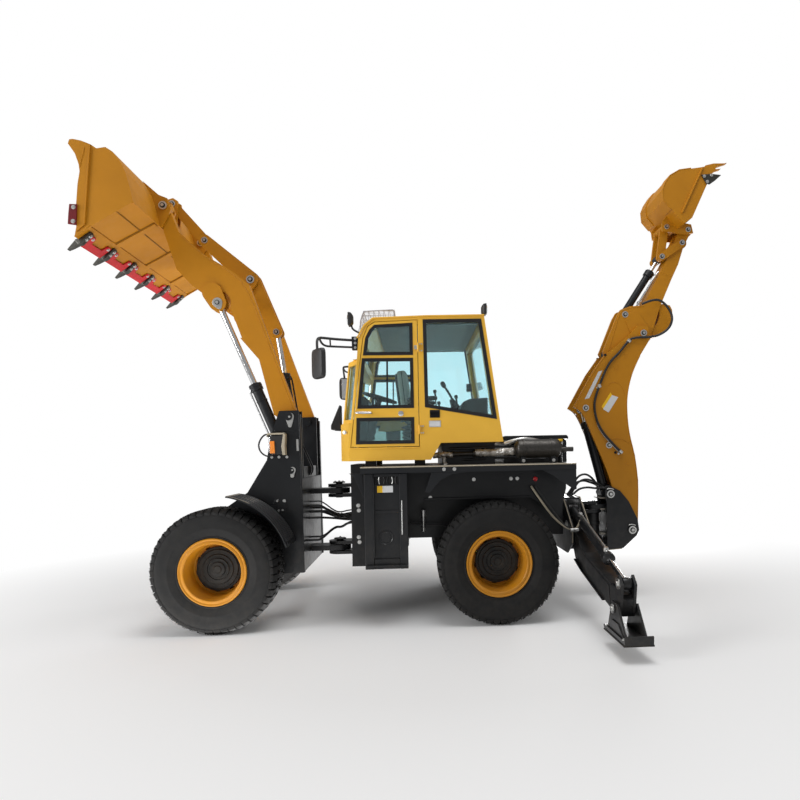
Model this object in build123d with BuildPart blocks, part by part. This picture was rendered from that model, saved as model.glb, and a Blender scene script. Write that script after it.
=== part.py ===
"""Compact articulated backhoe loader, as separate named sub-parts.

Millimetres. +X points forward to the loader bucket, +Y to the machine's left, +Z up.
The origin lies on the ground under the middle of the whole machine.
Side profiles are drawn in the XZ plane as (x, z) points.
"""

import os
from math import atan2, cos, degrees, hypot, radians, sin

from build123d import *

# ---- driving dimensions -------------------------------------------------------------------
wheel_base = 2450
rear_axle_x = -521
front_axle_x = rear_axle_x + wheel_base
tyre_radius = 537.5
tyre_width = 405
rim_radius = 268
overall_width = 2100
track_y = (overall_width - tyre_width) / 2
axle_z = tyre_radius
hinge_x = 976
hinge_upper_z = 1157
hinge_lower_z = 583

loader_plane_y = 500
arm_half = 35
plate = 20
tower_gap_half = 65
bucket_width = 2200
bucket_skin = 16

cab_half_width = 800
cab_wall = 50
door_gap = 6
door_stop = 12
pane = 8
door_hinge = (150, cab_half_width + 12)
hinge_knuckle = 10
hinge_pin = 6

hoe_bucket_width = 600
hoe_skin = 14

running_fit = 0.3
arm_pin = 40
lift_pin = 30
dump_pin = 25
bucket_pin = 32
link_pin = 25
hoe_pin = 24
side_gap = 6
front_bolt = 11
tow_pin = 20

# pin places, (x, z)
arm_pivot = (1360, 1882)
lift_base = (1343, 1377)
lift_rod_pin = (1992, 2945)
bucket_hinge = (2462, 3835)
bucket_link_pin = (2572, 4058)
rocker_pivot = (1807, 3289)
rocker_upper = (2260, 3693)
rocker_lower = (1569, 2769)
dump_base = (1392, 1600)

post_x = -1645
kingpin_z = (560, 930)
kingpin_radius = 40
boom_pin = 35
boom_plate = 30
stick_half = 95
boom_half = 135
boom_foot = (-2007, 694)
boom_cyl_base = (-1787, 1065)
boom_cyl_eye = (-1562, 1950)
stick_pivot = (-2176, 2711)
stick_cyl_base = (-1850, 1400)
stick_cyl_eye = (-1826, 2521)
stick_lever_pin = (-2614, 3652)
hoe_hinge = (-2667, 3776)
hoe_link_pin = (-2441, 3805)
hoe_cyl_base = (-2005, 2915)
hoe_cyl_eye = (-2398, 3508)

# in the stabilisers' plane, (y, z) on the left side
leg_x = -1354
leg_pivot = (430, 800)
leg_rod_pin = (1860, 515)
leg_foot_pin = (1810, 320)
leg_cyl_base = (330, 940)
leg_half = 60

os.makedirs("parts", exist_ok=True)


def save(builder, name):
    builder.part.label = name
    export_step(builder.part, f"parts/{name}.step")


def slab(points, y_low, y_high, mode=Mode.ADD):
    """A flat plate with this (x, z) outline, from y_low to y_high."""
    with BuildSketch(Plane.XZ.offset(-y_high)) as outline:
        with BuildLine():
            Polyline(*points, close=True)
        make_face()
    extrude(outline.sketch, amount=y_high - y_low, mode=mode)


def disc(centre, radius, y_low, y_high, mode=Mode.ADD):
    """A round boss, pin or bore across the machine, centred on (x, z)."""
    with BuildSketch(Plane.XZ.offset(-y_high)) as outline:
        with Locations(centre):
            Circle(radius)
    extrude(outline.sketch, amount=y_high - y_low, mode=mode)


def strap(start, end, radius_start, radius_end, y_low, y_high, mode=Mode.ADD):
    """A link plate: two round ends at (x, z) points joined by a straight web."""
    with BuildSketch(Plane.XZ.offset(-y_high)) as outline:
        with Locations(start):
            Circle(radius_start)
        with Locations(end):
            Circle(radius_end)
        make_hull()
    extrude(outline.sketch, amount=y_high - y_low, mode=mode)


def box(x_low, x_high, y_low, y_high, z_low, z_high, mode=Mode.ADD):
    size = (x_high - x_low, y_high - y_low, z_high - z_low)
    centre = ((x_high + x_low) / 2, (y_high + y_low) / 2, (z_high + z_low) / 2)
    with Locations(centre):
        Box(*size, mode=mode)


def along(start, end, distance):
    """The (x, z) point at this distance from start towards end."""
    length = hypot(end[0] - start[0], end[1] - start[1])
    share = distance / length
    return (start[0] + (end[0] - start[0]) * share, start[1] + (end[1] - start[1]) * share)


def rod_plane(start, end, y):
    """A sketch plane at start, in the plane y, that looks along start to end."""
    heading = Vector(end[0] - start[0], 0, end[1] - start[1]).normalized()
    return Plane(origin=(start[0], y, start[1]), x_dir=(0, 1, 0), z_dir=heading)


def cylinder_barrel(base, eye, y, bore_radius, tube_radius, length, eye_radius, eye_half, pin_radius):
    """Hydraulic barrel from its base eye, with a blind bore for the rod."""
    disc(base, eye_radius, y - eye_half, y + eye_half)
    with BuildSketch(rod_plane(base, eye, y)) as tube:
        Circle(tube_radius)
    extrude(tube.sketch, amount=length)
    with BuildSketch(rod_plane(along(base, eye, length - 60), eye, y)) as gland:
        Circle(tube_radius + 8)
    extrude(gland.sketch, amount=60)
    with BuildSketch(rod_plane(along(base, eye, eye_radius + 25), eye, y)) as bore:
        Circle(bore_radius)
    extrude(bore.sketch, amount=length, mode=Mode.SUBTRACT)
    disc(base, pin_radius + running_fit, y - 200, y + 200, Mode.SUBTRACT)


def cylinder_rod(base, eye, y, rod_radius, inside, eye_radius, eye_half):
    """Piston rod: starts this far from the barrel's base pin and ends in its eye."""
    length = hypot(eye[0] - base[0], eye[1] - base[1])
    with BuildSketch(rod_plane(along(base, eye, inside), eye, y)) as shaft:
        Circle(rod_radius)
    extrude(shaft.sketch, amount=length - inside)
    disc(eye, eye_radius, y - eye_half, y + eye_half)


# ---- wheels: tyre and rim, one pair per corner ---------------------------------------------
# name, axle x, side (+1 left, -1 right)
wheels = [
    ("front_left", front_axle_x, 1),
    ("front_right", front_axle_x, -1),
    ("rear_left", rear_axle_x, 1),
    ("rear_right", rear_axle_x, -1),
]
hub_inner_y = track_y - 47.5
for name, x, side in wheels:
    centre_y = side * track_y
    half = tyre_width / 2
    wheel_plane = Plane(origin=(x, 0, axle_z), x_dir=(0, 1, 0), z_dir=(1, 0, 0))
    with BuildPart() as tyre:
        with BuildSketch(wheel_plane):
            with BuildLine():
                Polyline(
                    (centre_y - half + 40, rim_radius),
                    (centre_y - half, rim_radius + 70),
                    (centre_y - half, tyre_radius - 85),
                    (centre_y - half + 30, tyre_radius - 18),
                    (centre_y - half + 60, tyre_radius),
                    (centre_y + half - 60, tyre_radius),
                    (centre_y + half - 30, tyre_radius - 18),
                    (centre_y + half, tyre_radius - 85),
                    (centre_y + half, rim_radius + 70),
                    (centre_y + half - 40, rim_radius),
                    close=True,
                )
            make_face()
        revolve(axis=Axis((x, 0, axle_z), (0, 1, 0)))
    save(tyre, f"tyre_{name}")
    with BuildPart() as rim:
        disc((x, axle_z), rim_radius, centre_y - 160, centre_y + 160)
        disc((x, axle_z), rim_radius - 22, centre_y - 160, centre_y + 160, Mode.SUBTRACT)
        inner, outer = side * hub_inner_y, side * (hub_inner_y + 20)
        disc((x, axle_z), rim_radius - 20, min(inner, outer), max(inner, outer))
        inner, outer = side * (hub_inner_y + 20), side * (hub_inner_y + 90)
        disc((x, axle_z), 150, min(inner, outer), max(inner, outer))
        inner, outer = side * (hub_inner_y + 90), side * (hub_inner_y + 140)
        disc((x, axle_z), 95, min(inner, outer), max(inner, outer))
    save(rim, f"rim_{name}")

# ---- axles: tube, round differential housing and stub ends ---------------------------------
axle_radius = 85
for name, x in (("front_axle", front_axle_x), ("rear_axle", rear_axle_x)):
    with BuildPart() as axle:
        reach = hub_inner_y - running_fit
        disc((x, axle_z), axle_radius, -reach, reach)
        disc((x, axle_z), 120, -reach, -reach + 150)
        disc((x, axle_z), 120, reach - 150, reach)
        disc((x, axle_z), 155, -110, 110)
        pad_top = 700
        for y in (-460, 460):
            box(x - 110, x + 110, y - 60, y + 60, axle_z, pad_top)
    save(axle, name)

# ---- front frame: two twin-plate towers, floor box and hinge lugs ---------------------------
tower_rear_x = 1246
frame_front_x = front_axle_x + 307
tower_outline = [
    (tower_rear_x + 16, 1935), (1443, 1932), (1521, 1704), (1562, 1479),
    (front_axle_x - 186, 1184), (front_axle_x + 67, 1010), (frame_front_x, 900),
    (frame_front_x, 700), (1516, 700), (1480, 430), (tower_rear_x, 430),
]
inner_plate = (loader_plane_y - tower_gap_half - plate, loader_plane_y - tower_gap_half)
outer_plate = (loader_plane_y + tower_gap_half, loader_plane_y + tower_gap_half + plate)
with BuildPart() as front_frame:
    for low, high in (inner_plate, outer_plate):
        slab(tower_outline, low, high)
        slab(tower_outline, -high, -low)
    floor_y = outer_plate[1]
    box(1600, frame_front_x, -floor_y, floor_y, 700, 740)
    box(frame_front_x - 40, frame_front_x, -floor_y, floor_y, 700, 900)
    # four bolt holes in the front wall, and a bore for a tow pin behind it
    with BuildSketch(Plane.YZ.offset(frame_front_x - 40)) as bolts:
        for y in (-200, 200):
            for z in (780, 860):
                with Locations((y, z)):
                    Circle(front_bolt)
    extrude(bolts.sketch, amount=40, mode=Mode.SUBTRACT)
    with Locations((frame_front_x - 106, 0, 720)):
        Cylinder(tow_pin, 40, mode=Mode.SUBTRACT)
    box(tower_rear_x, tower_rear_x + 30, -floor_y, floor_y, 430, 1300)
    box(tower_rear_x, 1480, -floor_y, floor_y, 430, 460)
    # hinge lugs, one above and one below, on a spine towards the rear frame
    for z in (hinge_upper_z, hinge_lower_z):
        box(hinge_x, tower_rear_x, -110, 110, z - 25, z + 25)
        with Locations((hinge_x, 0, z)):
            Cylinder(110, 50)
    for z in (hinge_upper_z, hinge_lower_z):
        with Locations((hinge_x, 0, z)):
            Cylinder(35 + running_fit, 60, mode=Mode.SUBTRACT)
    # carrier of the dump cylinder, between the inner tower plates
    for y in (-68, 50):
        strap(dump_base, (1330, 1380), 60, 90, y, y + 18)
    box(1270, 1330, -inner_plate[0], inner_plate[0], 1290, 1410)
    disc(dump_base, dump_pin, -68, 68)
    for side in (-1, 1):
        y = side * loader_plane_y
        disc(arm_pivot, arm_pin, y - 100, y + 100)
        disc(lift_base, lift_pin, y - 100, y + 100)
save(front_frame, "front_frame")

# ---- front fenders: bent strips over the front tyres ---------------------------------------
fender_radius = tyre_radius + 102.5
# middle of each bracket from the axle, as shares of the fender's radius
fender_bracket = (-0.6625, 0.78515625)
fender_start, fender_end = 100, 163
with BuildPart() as front_fenders:
    for side in (-1, 1):
        low, high = sorted((side * 590, side * 1010))
        with BuildSketch(Plane.XZ.offset(-high)) as strip:
            with BuildLine():
                for radius in (fender_radius, fender_radius + 10):
                    CenterArc((front_axle_x, axle_z), radius, fender_start, fender_end - fender_start)
                for angle in (fender_start, fender_end):
                    turn = radians(angle)
                    Line(
                        (front_axle_x + fender_radius * cos(turn), axle_z + fender_radius * sin(turn)),
                        (
                            front_axle_x + (fender_radius + 10) * cos(turn),
                            axle_z + (fender_radius + 10) * sin(turn),
                        ),
                    )
            make_face()
        extrude(strip.sketch, amount=high - low)
        bracket_low, bracket_high = sorted((side * outer_plate[1], side * 640))
        x = front_axle_x + fender_radius * fender_bracket[0]
        z = axle_z + fender_radius * fender_bracket[1]
        box(x - 25, x + 25, bracket_low, bracket_high, z - 20, z + 20)
save(front_fenders, "front_fenders")

# ---- headlamps: one housing each side of the tower -------------------------------------------
with BuildPart() as headlamps:
    for side in (-1, 1):
        low, high = sorted((side * outer_plate[1], side * (outer_plate[1] + 90)))
        box(1376, 1536, low, high, 1515, 1727)
save(headlamps, "headlamps")

# ---- loader arms: two boxed side plates, cross tube and rocker bracket -----------------------
arm_outline = [
    (2410, 3800), (2337, 3605), (2104, 3391), (1860, 3242), (1709, 3117), (1482, 2465),
    (1290, 1925), (1305, 1845), (1400, 1830), (1500, 1900), (1627, 2417), (2005, 2869),
    (2012, 2948), (2223, 3107), (2362, 3261), (2468, 3600), (2478, 3700), (2495, 3790),
]
cross_tube = (2010, 3060)
# where the lift rod passes through the arm's lower edge
rod_slot = [(1910, 2980), (1780, 2620), (1990, 2640), (2120, 2980)]
ear_radius = 78
eye_half = 28
with BuildPart() as loader_arms:
    for side in (-1, 1):
        y = side * loader_plane_y
        slab(arm_outline, y - arm_half, y + arm_half)
        disc(arm_pivot, 75, y - arm_half - 20, y + arm_half + 20)
        disc(bucket_hinge, 62, y - arm_half, y + arm_half)
        disc(lift_rod_pin, 118, y - arm_half, y + arm_half, Mode.SUBTRACT)
        slab(rod_slot, y - arm_half, y + arm_half, Mode.SUBTRACT)
        for low in (y - arm_half - 18, y + arm_half):
            strap(lift_rod_pin, (2040, 3040), ear_radius, 90, low, low + 18)
        disc(arm_pivot, arm_pin + running_fit, y - 95, y + 95, Mode.SUBTRACT)
        disc(bucket_hinge, bucket_pin + running_fit, y - 95, y + 95, Mode.SUBTRACT)
    disc(cross_tube, 70, -loader_plane_y + arm_half, loader_plane_y - arm_half)
    for low in (-88, 66):
        strap(rocker_pivot, cross_tube, 75, 95, low, low + 22)
    disc(rocker_pivot, 35, -95, 95)
save(loader_arms, "loader_arms")

# ---- rocker, its link and the loader bucket ---------------------------------------------------
with BuildPart() as rocker:
    for low in (-58, 34):
        strap(rocker_pivot, rocker_upper, 85, 60, low, low + 24)
        strap(rocker_pivot, rocker_lower, 85, 60, low, low + 24)
    disc(rocker_pivot, 60, -58, 58)
    disc(rocker_pivot, 35 + running_fit, -70, 70, Mode.SUBTRACT)
save(rocker, "rocker")

with BuildPart() as bucket_link:
    strap(rocker_upper, bucket_link_pin, 50, 45, -26, 26)
    disc(bucket_link_pin, link_pin + running_fit, -26, 26, Mode.SUBTRACT)
save(bucket_link, "bucket_link")

# outline of the bucket's side, (x, z)
bucket_side = [
    (2968, 3368), (2951, 3457), (2952, 3584), (2934, 3795), (2916, 3895), (2922, 3954),
    (2951, 4043), (2995, 4111), (3008, 4126), (2994, 4164), (2968, 4167), (2903, 4154),
    (2827, 4123), (2781, 4091), (2709, 4103), (2653, 4066), (2593, 3988), (2554, 3903),
    (2520, 3777), (2494, 3650),
]
# the shell's outside, from the top of the back to the cutting edge
shell_outside = [
    (2781, 4091), (2709, 4103), (2653, 4066), (2593, 3988), (2554, 3903), (2520, 3777),
    (2494, 3650), (2880, 3436), (2968, 3368),
]
shell_inside = [
    (2958, 3388), (2888, 3456), (2514, 3662), (2537, 3774), (2570, 3897), (2608, 3980),
    (2663, 4050), (2709, 4086), (2781, 4074),
]
link_lug = [(2530, 3850), (2515, 4085), (2560, 4115), (2625, 4095), (2660, 4070), (2590, 3980)]
with BuildPart() as loader_bucket:
    half = bucket_width / 2
    slab(shell_outside + shell_inside, -half, half)
    slab(bucket_side, -half, -half + bucket_skin)
    slab(bucket_side, half - bucket_skin, half)
    # hinge ears either side of each arm, running up the bucket's back
    ear = [
        (2392, 3800), (2425, 3905), (2500, 3935), (2640, 4060), (2600, 3985), (2558, 3900),
        (2524, 3776), (2498, 3650), (2470, 3640),
    ]
    for side in (-1, 1):
        for low in (loader_plane_y - arm_half - 26, loader_plane_y + arm_half + side_gap):
            high = low + plate
            slab(ear, *sorted((side * low, side * high)))
        y = side * loader_plane_y
        disc(bucket_hinge, bucket_pin, y - 70, y + 70)
    for low in (-58, 34):
        slab(link_lug, low, low + 24)
    disc(bucket_link_pin, link_pin, -58, 58)
save(loader_bucket, "loader_bucket")

# bolt-on edge, teeth and side cutters along the cutting edge
tooth_outline = [
    (2885, 3432), (2968, 3368), (3078, 3296), (3066, 3284), (2950, 3335), (2872, 3405),
    (2868, 3420),
]
tooth_count = 6
with BuildPart() as bucket_teeth:
    for index in range(tooth_count):
        y = -1020 + index * 2040 / (tooth_count - 1)
        slab(tooth_outline, y - 32, y + 32)
save(bucket_teeth, "bucket_teeth")

# ---- lift and dump cylinders of the loader ------------------------------------------------------
with BuildPart() as lift_barrels:
    for side in (-1, 1):
        cylinder_barrel(lift_base, lift_rod_pin, side * loader_plane_y, 28, 48, 880, 55, 50, lift_pin)
save(lift_barrels, "lift_barrels")
with BuildPart() as lift_rods:
    for side in (-1, 1):
        y = side * loader_plane_y
        cylinder_rod(lift_base, lift_rod_pin, y, 27, 808, 55, eye_half)
save(lift_rods, "lift_rods")
with BuildPart() as dump_barrel:
    cylinder_barrel(dump_base, rocker_lower, 0, 26, 45, 760, 50, 44, dump_pin)
save(dump_barrel, "dump_barrel")
with BuildPart() as dump_rod:
    cylinder_rod(dump_base, rocker_lower, 0, 25, 300, 48, 26)
save(dump_rod, "dump_rod")

# ---- rear frame: rails, front column with hinge lugs, tail plates --------------------------------
with BuildPart() as rear_frame:
    rail = [
        (816, 440), (816, 1420), (700, 1420), (700, 1340), (-1180, 1340), (-1240, 1100),
        (-1240, 700), (560, 700), (620, 440),
    ]
    slab(rail, 360, 390)
    slab(rail, -390, -360)
    box(680, 816, -360, 360, 440, 1420)
    box(-1200, 680, -360, 360, 700, 730)
    for z in (hinge_upper_z, hinge_lower_z):
        for low in (z - 65, z + 35):
            box(800, hinge_x, -110, 110, low, low + 30)
            with Locations((hinge_x, 0, low + 15)):
                Cylinder(110, 30)
        with Locations((hinge_x, 0, z)):
            Cylinder(35, 150)
save(rear_frame, "rear_frame")

# ---- stabiliser frame: two cross plates that hold the legs and the swing bracket ------------------
housing_front, housing_rear = -1269, -1439
housing_plate = 14
housing_outline = [
    (-640, 640), (-640, 790), (-300, 1050), (300, 1050), (640, 790), (640, 640),
    (420, 520), (-420, 520),
]
with BuildPart() as stabiliser_frame:
    for x in (housing_front - housing_plate, housing_rear):
        with BuildSketch(Plane.YZ.offset(x)):
            with BuildLine():
                Polyline(*housing_outline, close=True)
            make_face()
        extrude(amount=housing_plate)
    box(housing_rear, housing_front, -300, 300, 1030, 1050)
    box(housing_rear, housing_front, -200, 200, 520, 540)
    # lugs of the swing post
    for z in kingpin_z:
        for low in (z - 60, z + 30):
            box(post_x, housing_rear, -95, 95, low, low + 30)
            with Locations((post_x, 0, low + 15)):
                Cylinder(95, 30)
        with Locations((post_x, 0, z)):
            Cylinder(kingpin_radius, 130)
save(stabiliser_frame, "stabiliser_frame")

# ---- deck, side boxes and power unit ---------------------------------------------------------------
with BuildPart() as deck:
    box(-1224, 672, -1000, 1000, 1388, 1400)
    for side in (-1, 1):
        box(-1224, 672, *sorted((side * 988, side * 1000)), 1346, 1388)
    for x in (-1224, 660):
        box(x, x + 12, -1000, 1000, 1346, 1388)
    box(-560, -60, -560, 560, 1400, 1607)
    for x in (100, 560):
        for y in (-560, 460):
            box(x, x + 100, y, y + 100, 1400, 1455)
    for side in (-1, 1):
        skirt = [(276, 1388), (276, 950), (116, 1078), (-890, 1078), (-1160, 900), (-1224, 1164), (-1224, 1388)]
        slab(skirt, *sorted((side * 600, side * 612)))
save(deck, "deck")

with BuildPart() as side_boxes:
    for side in (-1, 1):
        low, high = sorted((side * 395, side * 950))
        box(280, 640, low, high, 510, 1345)
save(side_boxes, "side_boxes")

with BuildPart() as engine_block:
    box(-1150, -350, -300, 300, 730, 1330)
save(engine_block, "engine_block")

with BuildPart() as engine_hood:
    box(-1284, -660, -450, 450, 1400, 1675)
save(engine_hood, "engine_hood")

with BuildPart() as muffler:
    with BuildSketch(Plane.YZ.offset(-1154)):
        with Locations((700, 1540)):
            Circle(85)
    extrude(amount=430)
    for x in (-1100, -820):
        box(x, x + 40, 660, 740, 1400, 1470)
save(muffler, "muffler")

# ---- cab: hollow shell with window and door openings -------------------------------------------------
cab_profile = [
    (880, 1455), (880, 1795), (850, 1800), (790, 2360), (700, 2370), (683, 2560), (620, 2670),
    (546, 2735), (82, 2752), (-453, 2758), (-581, 1803), (-609, 1607), (-41, 1607), (52, 1455),
]
cab_inside = [
    (830, 1505), (830, 1750), (800, 1800), (742, 2310), (652, 2322), (634, 2545), (585, 2630),
    (530, 2686), (82, 2702), (-410, 2708), (-530, 1803), (-552, 1657), (-10, 1657), (82, 1505),
]
# side openings, (x, z)
rear_side_window = [(98, 1930), (104, 2722), (-426, 2726), (-554, 1812)]
door_outline = [
    (772, 1575), (745, 1800), (716, 2030), (668, 2400), (645, 2560), (600, 2665), (540, 2705),
    (150, 2722), (150, 1575),
]
hinge_heights = (1730, 2470)
# half widths of the windows across the front and the rear
front_window = cab_half_width - 200
rear_window = cab_half_width - 160
# heights of the leaning front corners, (z, x of the front face there)
foot_corner = [(1400, 880), (1798, 880)]
bay_corner = [(1798, 850), (2366, 789.4)]
bay_window = [(1830, 846.8), (2320, 794.3)]
# plans of the front corners, (x behind the front face, y out from the cab's side)
foot_cut = [(-111, 40), (8, -260), (60, 40)]
foot_inside = [(-165, 0), (-42, -311), (0, 0)]
corner_cut = [(-119, 40), (10, -177), (60, 40)]
corner_inside = [(-153, 0), (-26, -214), (0, 0)]
corner_window = [(-134.8, -50.4), (-63.4, -170.8), (39.8, -109.6), (-31.6, 10.8)]
corner_pane = [(-102.9, -31.8), (-31.7, -151.7), (-24.8, -147.6), (-96, -27.7)]


def corner(levels, plan, side, mode):
    """A leaning prism at a front corner, its plan set back from the front face at each level."""
    faces = []
    for z, front in levels:
        with BuildSketch(Plane.XY.offset(z)) as section:
            with BuildLine():
                Polyline(*[(front + x, side * (cab_half_width + y)) for x, y in plan], close=True)
            make_face()
        faces.append(section.sketch.faces()[0])
    loft(faces, ruled=True, mode=mode)


with BuildPart() as cavity:
    slab(cab_inside, -cab_half_width + cab_wall, cab_half_width - cab_wall)
    for side in (-1, 1):
        corner(foot_corner, foot_inside, side, Mode.SUBTRACT)
        corner(bay_corner, corner_inside, side, Mode.SUBTRACT)
with BuildPart() as cab_shell:
    slab(cab_profile, -cab_half_width, cab_half_width)
    for side in (-1, 1):
        corner(foot_corner, foot_cut, side, Mode.SUBTRACT)
        corner(bay_corner, corner_cut, side, Mode.SUBTRACT)
    add(cavity.part, mode=Mode.SUBTRACT)
    for side in (-1, 1):
        low, high = sorted((side * (cab_half_width - cab_wall), side * (cab_half_width + 50)))
        slab(rear_side_window, low, high, Mode.SUBTRACT)
        low, high = sorted((side * (cab_half_width - cab_wall - door_stop), side * (cab_half_width + 50)))
        slab(door_outline, low, high, Mode.SUBTRACT)
        corner(bay_window, corner_window, side, Mode.SUBTRACT)
        # two hinges per door: a fixed pin with a knuckle above and below the door's own
        for z in hinge_heights:
            with Locations((door_hinge[0], side * door_hinge[1], z)):
                Cylinder(hinge_pin, 80)
            for low in (z - 40, z + 21):
                with Locations((door_hinge[0], side * door_hinge[1], low + 9.5)):
                    Cylinder(hinge_knuckle, 19)
                y_low, y_high = sorted((side * (cab_half_width - 1), side * (cab_half_width + 6)))
                box(door_hinge[0] - 40, door_hinge[0] - 2, y_low, y_high, low, low + 19)
    # windscreen, upper front window and rear window, cut along X
    box(740, 1000, -front_window, front_window, 1830, 2320, Mode.SUBTRACT)
    box(600, 760, -front_window, front_window, 2400, 2550, Mode.SUBTRACT)
    box(-700, -380, -rear_window, rear_window, 1860, 2640, Mode.SUBTRACT)
save(cab_shell, "cab_shell")

door_windows = [
    [(645, 2402), (622, 2560), (583, 2635), (540, 2676), (196, 2693), (196, 2402)],
    [(704, 1925), (654, 2377), (196, 2377), (196, 1925)],
    [(722, 1605), (712, 1843), (196, 1843), (196, 1605)],
]
for name, side in (("left", 1), ("right", -1)):
    low, high = sorted((side * (cab_half_width - cab_wall), side * cab_half_width))
    with BuildPart() as door:
        with BuildSketch(Plane.XZ.offset(-high)) as frame:
            with BuildLine():
                Polyline(*door_outline, close=True)
            make_face()
            offset(amount=-door_gap)
        extrude(frame.sketch, amount=high - low)
        for window in door_windows:
            slab(window, low - 10, high + 10, Mode.SUBTRACT)
        for z in hinge_heights:
            with Locations((door_hinge[0], side * door_hinge[1], z)):
                Cylinder(hinge_knuckle, 40)
            y_low, y_high = sorted((side * (cab_half_width - 1), side * (cab_half_width + 6)))
            box(door_hinge[0] + 8, door_hinge[0] + 40, y_low, y_high, z - 20, z + 20)
            with Locations((door_hinge[0], side * door_hinge[1], z)):
                Cylinder(hinge_pin + running_fit, 40, mode=Mode.SUBTRACT)
    save(door, f"door_{name}")
    with BuildPart() as door_glass:
        low, high = sorted((side * (cab_half_width - 22), side * (cab_half_width - 22 + pane)))
        for window in door_windows:
            slab(window, low, high)
    save(door_glass, f"door_glass_{name}")

with BuildPart() as cab_glass:
    for side in (-1, 1):
        low, high = sorted((side * (cab_half_width - 14), side * (cab_half_width - 14 + pane)))
        slab(rear_side_window, low, high)
        corner(bay_window, corner_pane, side, Mode.ADD)
    screen = [(823.8, 1830), (831.8, 1830), (779.3, 2320), (771.3, 2320)]
    slab(screen, -front_window, front_window)
    brow = [(672, 2400), (680, 2400), (666.9, 2550), (658.9, 2550)]
    slab(brow, -front_window, front_window)
    tail = [(-563, 1860), (-555, 1860), (-450.5, 2640), (-458.5, 2640)]
    slab(tail, -rear_window, rear_window)
save(cab_glass, "cab_glass")

# the seat is turned to the rear, for working the backhoe
with BuildPart() as seat:
    box(90, 330, -200, 200, 1505, 1660)
    box(-160, 360, -240, 240, 1657, 1950)
    box(240, 360, -230, 230, 1950, 2360)
save(seat, "seat")

with BuildPart() as operator_controls:
    box(600, 700, -60, 60, 1505, 2000)
    with BuildSketch(Plane(origin=(600, 0, 2030), z_dir=(-0.5, 0, 0.87))):
        Circle(190)
        Circle(165, mode=Mode.SUBTRACT)
        Rectangle(340, 24)
    extrude(amount=24)
    box(590, 640, -30, 30, 1950, 2040)
    # rear console with the backhoe levers
    box(-480, -260, -300, 300, 1657, 1960)
    for y in (-180, 180):
        box(-390, -362, y - 14, y + 14, 1960, 2190)
save(operator_controls, "operator_controls")

# a bent tube holds each mirror on the corner post, (x, y out from the cab's side, z)
mirror_tube = [(737, -30, 2540), (1012, 100, 2545), (1015, 230, 2430)]
mirror_stay = [(737, -30, 2480), (1003, 88, 2475)]
mirror_turn = 38
with BuildPart() as mirrors:
    for side in (-1, 1):
        housing_y = side * (cab_half_width + 230)
        with Locations(Location((1008, housing_y, 2300), (0, 0, side * mirror_turn))):
            Box(45, 190, 262)
        clamp_y = sorted((side * (cab_half_width - 70), side * cab_half_width))
        slab([(693, 2455), (740, 2455), (740, 2560), (684, 2560)], *clamp_y)
        for path in (mirror_tube, mirror_stay):
            points = [Vector(x, side * (cab_half_width + y), z) for x, y, z in path]
            for a, b in zip(points, points[1:]):
                with BuildSketch(Plane(origin=a, z_dir=(b - a).normalized())) as tube:
                    Circle(12)
                extrude(tube.sketch, amount=(b - a).length)
        for x, y, z in (mirror_tube[1], mirror_stay[1]):
            with Locations((x, side * (cab_half_width + y), z)):
                Sphere(14)
save(mirrors, "mirrors")

# ---- backhoe: swing post, boom, stick, bucket and linkage ------------------------------------------------
with BuildPart() as swing_post:
    side_outline = [
        (-1750, 1150), (-1780, 1152), (-1891, 1095), (-1981, 984), (-2070, 799), (-2083, 689),
        (-2057, 634), (-1915, 510), (-1750, 500),
    ]
    for low in (-boom_half - side_gap - 28, boom_half + side_gap):
        slab(side_outline, low, low + 28)
    box(-1775, -1750, -150, 150, 500, 955)
    for z in kingpin_z:
        box(-1760, post_x, -90, 90, z - 25, z + 25)
        with Locations((post_x, 0, z)):
            Cylinder(90, 50)
    for z in kingpin_z:
        with Locations((post_x, 0, z)):
            Cylinder(kingpin_radius + running_fit, 60, mode=Mode.SUBTRACT)
    disc(boom_foot, boom_pin, -190, 190)
    disc(boom_cyl_base, boom_pin, -190, 190)
save(swing_post, "swing_post")

boom_left = [(-1864, 900), (-1809, 1205), (-1526, 1905), (-1434, 1961), (-1636, 2313), (-1765, 2488)]
boom_top = [(-1838, 2540), (-2021, 2680), (-2120, 2790), (-2230, 2780), (-2255, 2661)]
boom_right = [
    (-2142, 2485), (-2067, 2343), (-2010, 2150), (-1989, 1973), (-2006, 1696), (-2066, 1457),
    (-2095, 1199), (-2090, 942), (-2072, 694), (-2007, 625), (-1940, 694),
]
with BuildPart() as boom:
    boom_outline = boom_left + boom_top + boom_right
    slab(boom_outline, -boom_half, boom_half)
    # open channel in front, where the two cylinders lie
    channel = [
        (-1700, 500), (-1940, 800), (-2060, 1000), (-2065, 1199), (-2036, 1457), (-2000, 1640),
        (-2400, 1680), (-2400, 2850), (-1300, 2850), (-1300, 500),
    ]
    slab(channel, -boom_half + boom_plate, boom_half - boom_plate, Mode.SUBTRACT)
    disc(boom_foot, 75, -boom_half, boom_half)
    disc(boom_foot, boom_pin + running_fit, -200, 200, Mode.SUBTRACT)
    disc(stick_cyl_base, hoe_pin, -boom_half, boom_half)
    disc(stick_pivot, boom_pin, -boom_half - 15, boom_half + 15)
save(boom, "boom")

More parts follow.
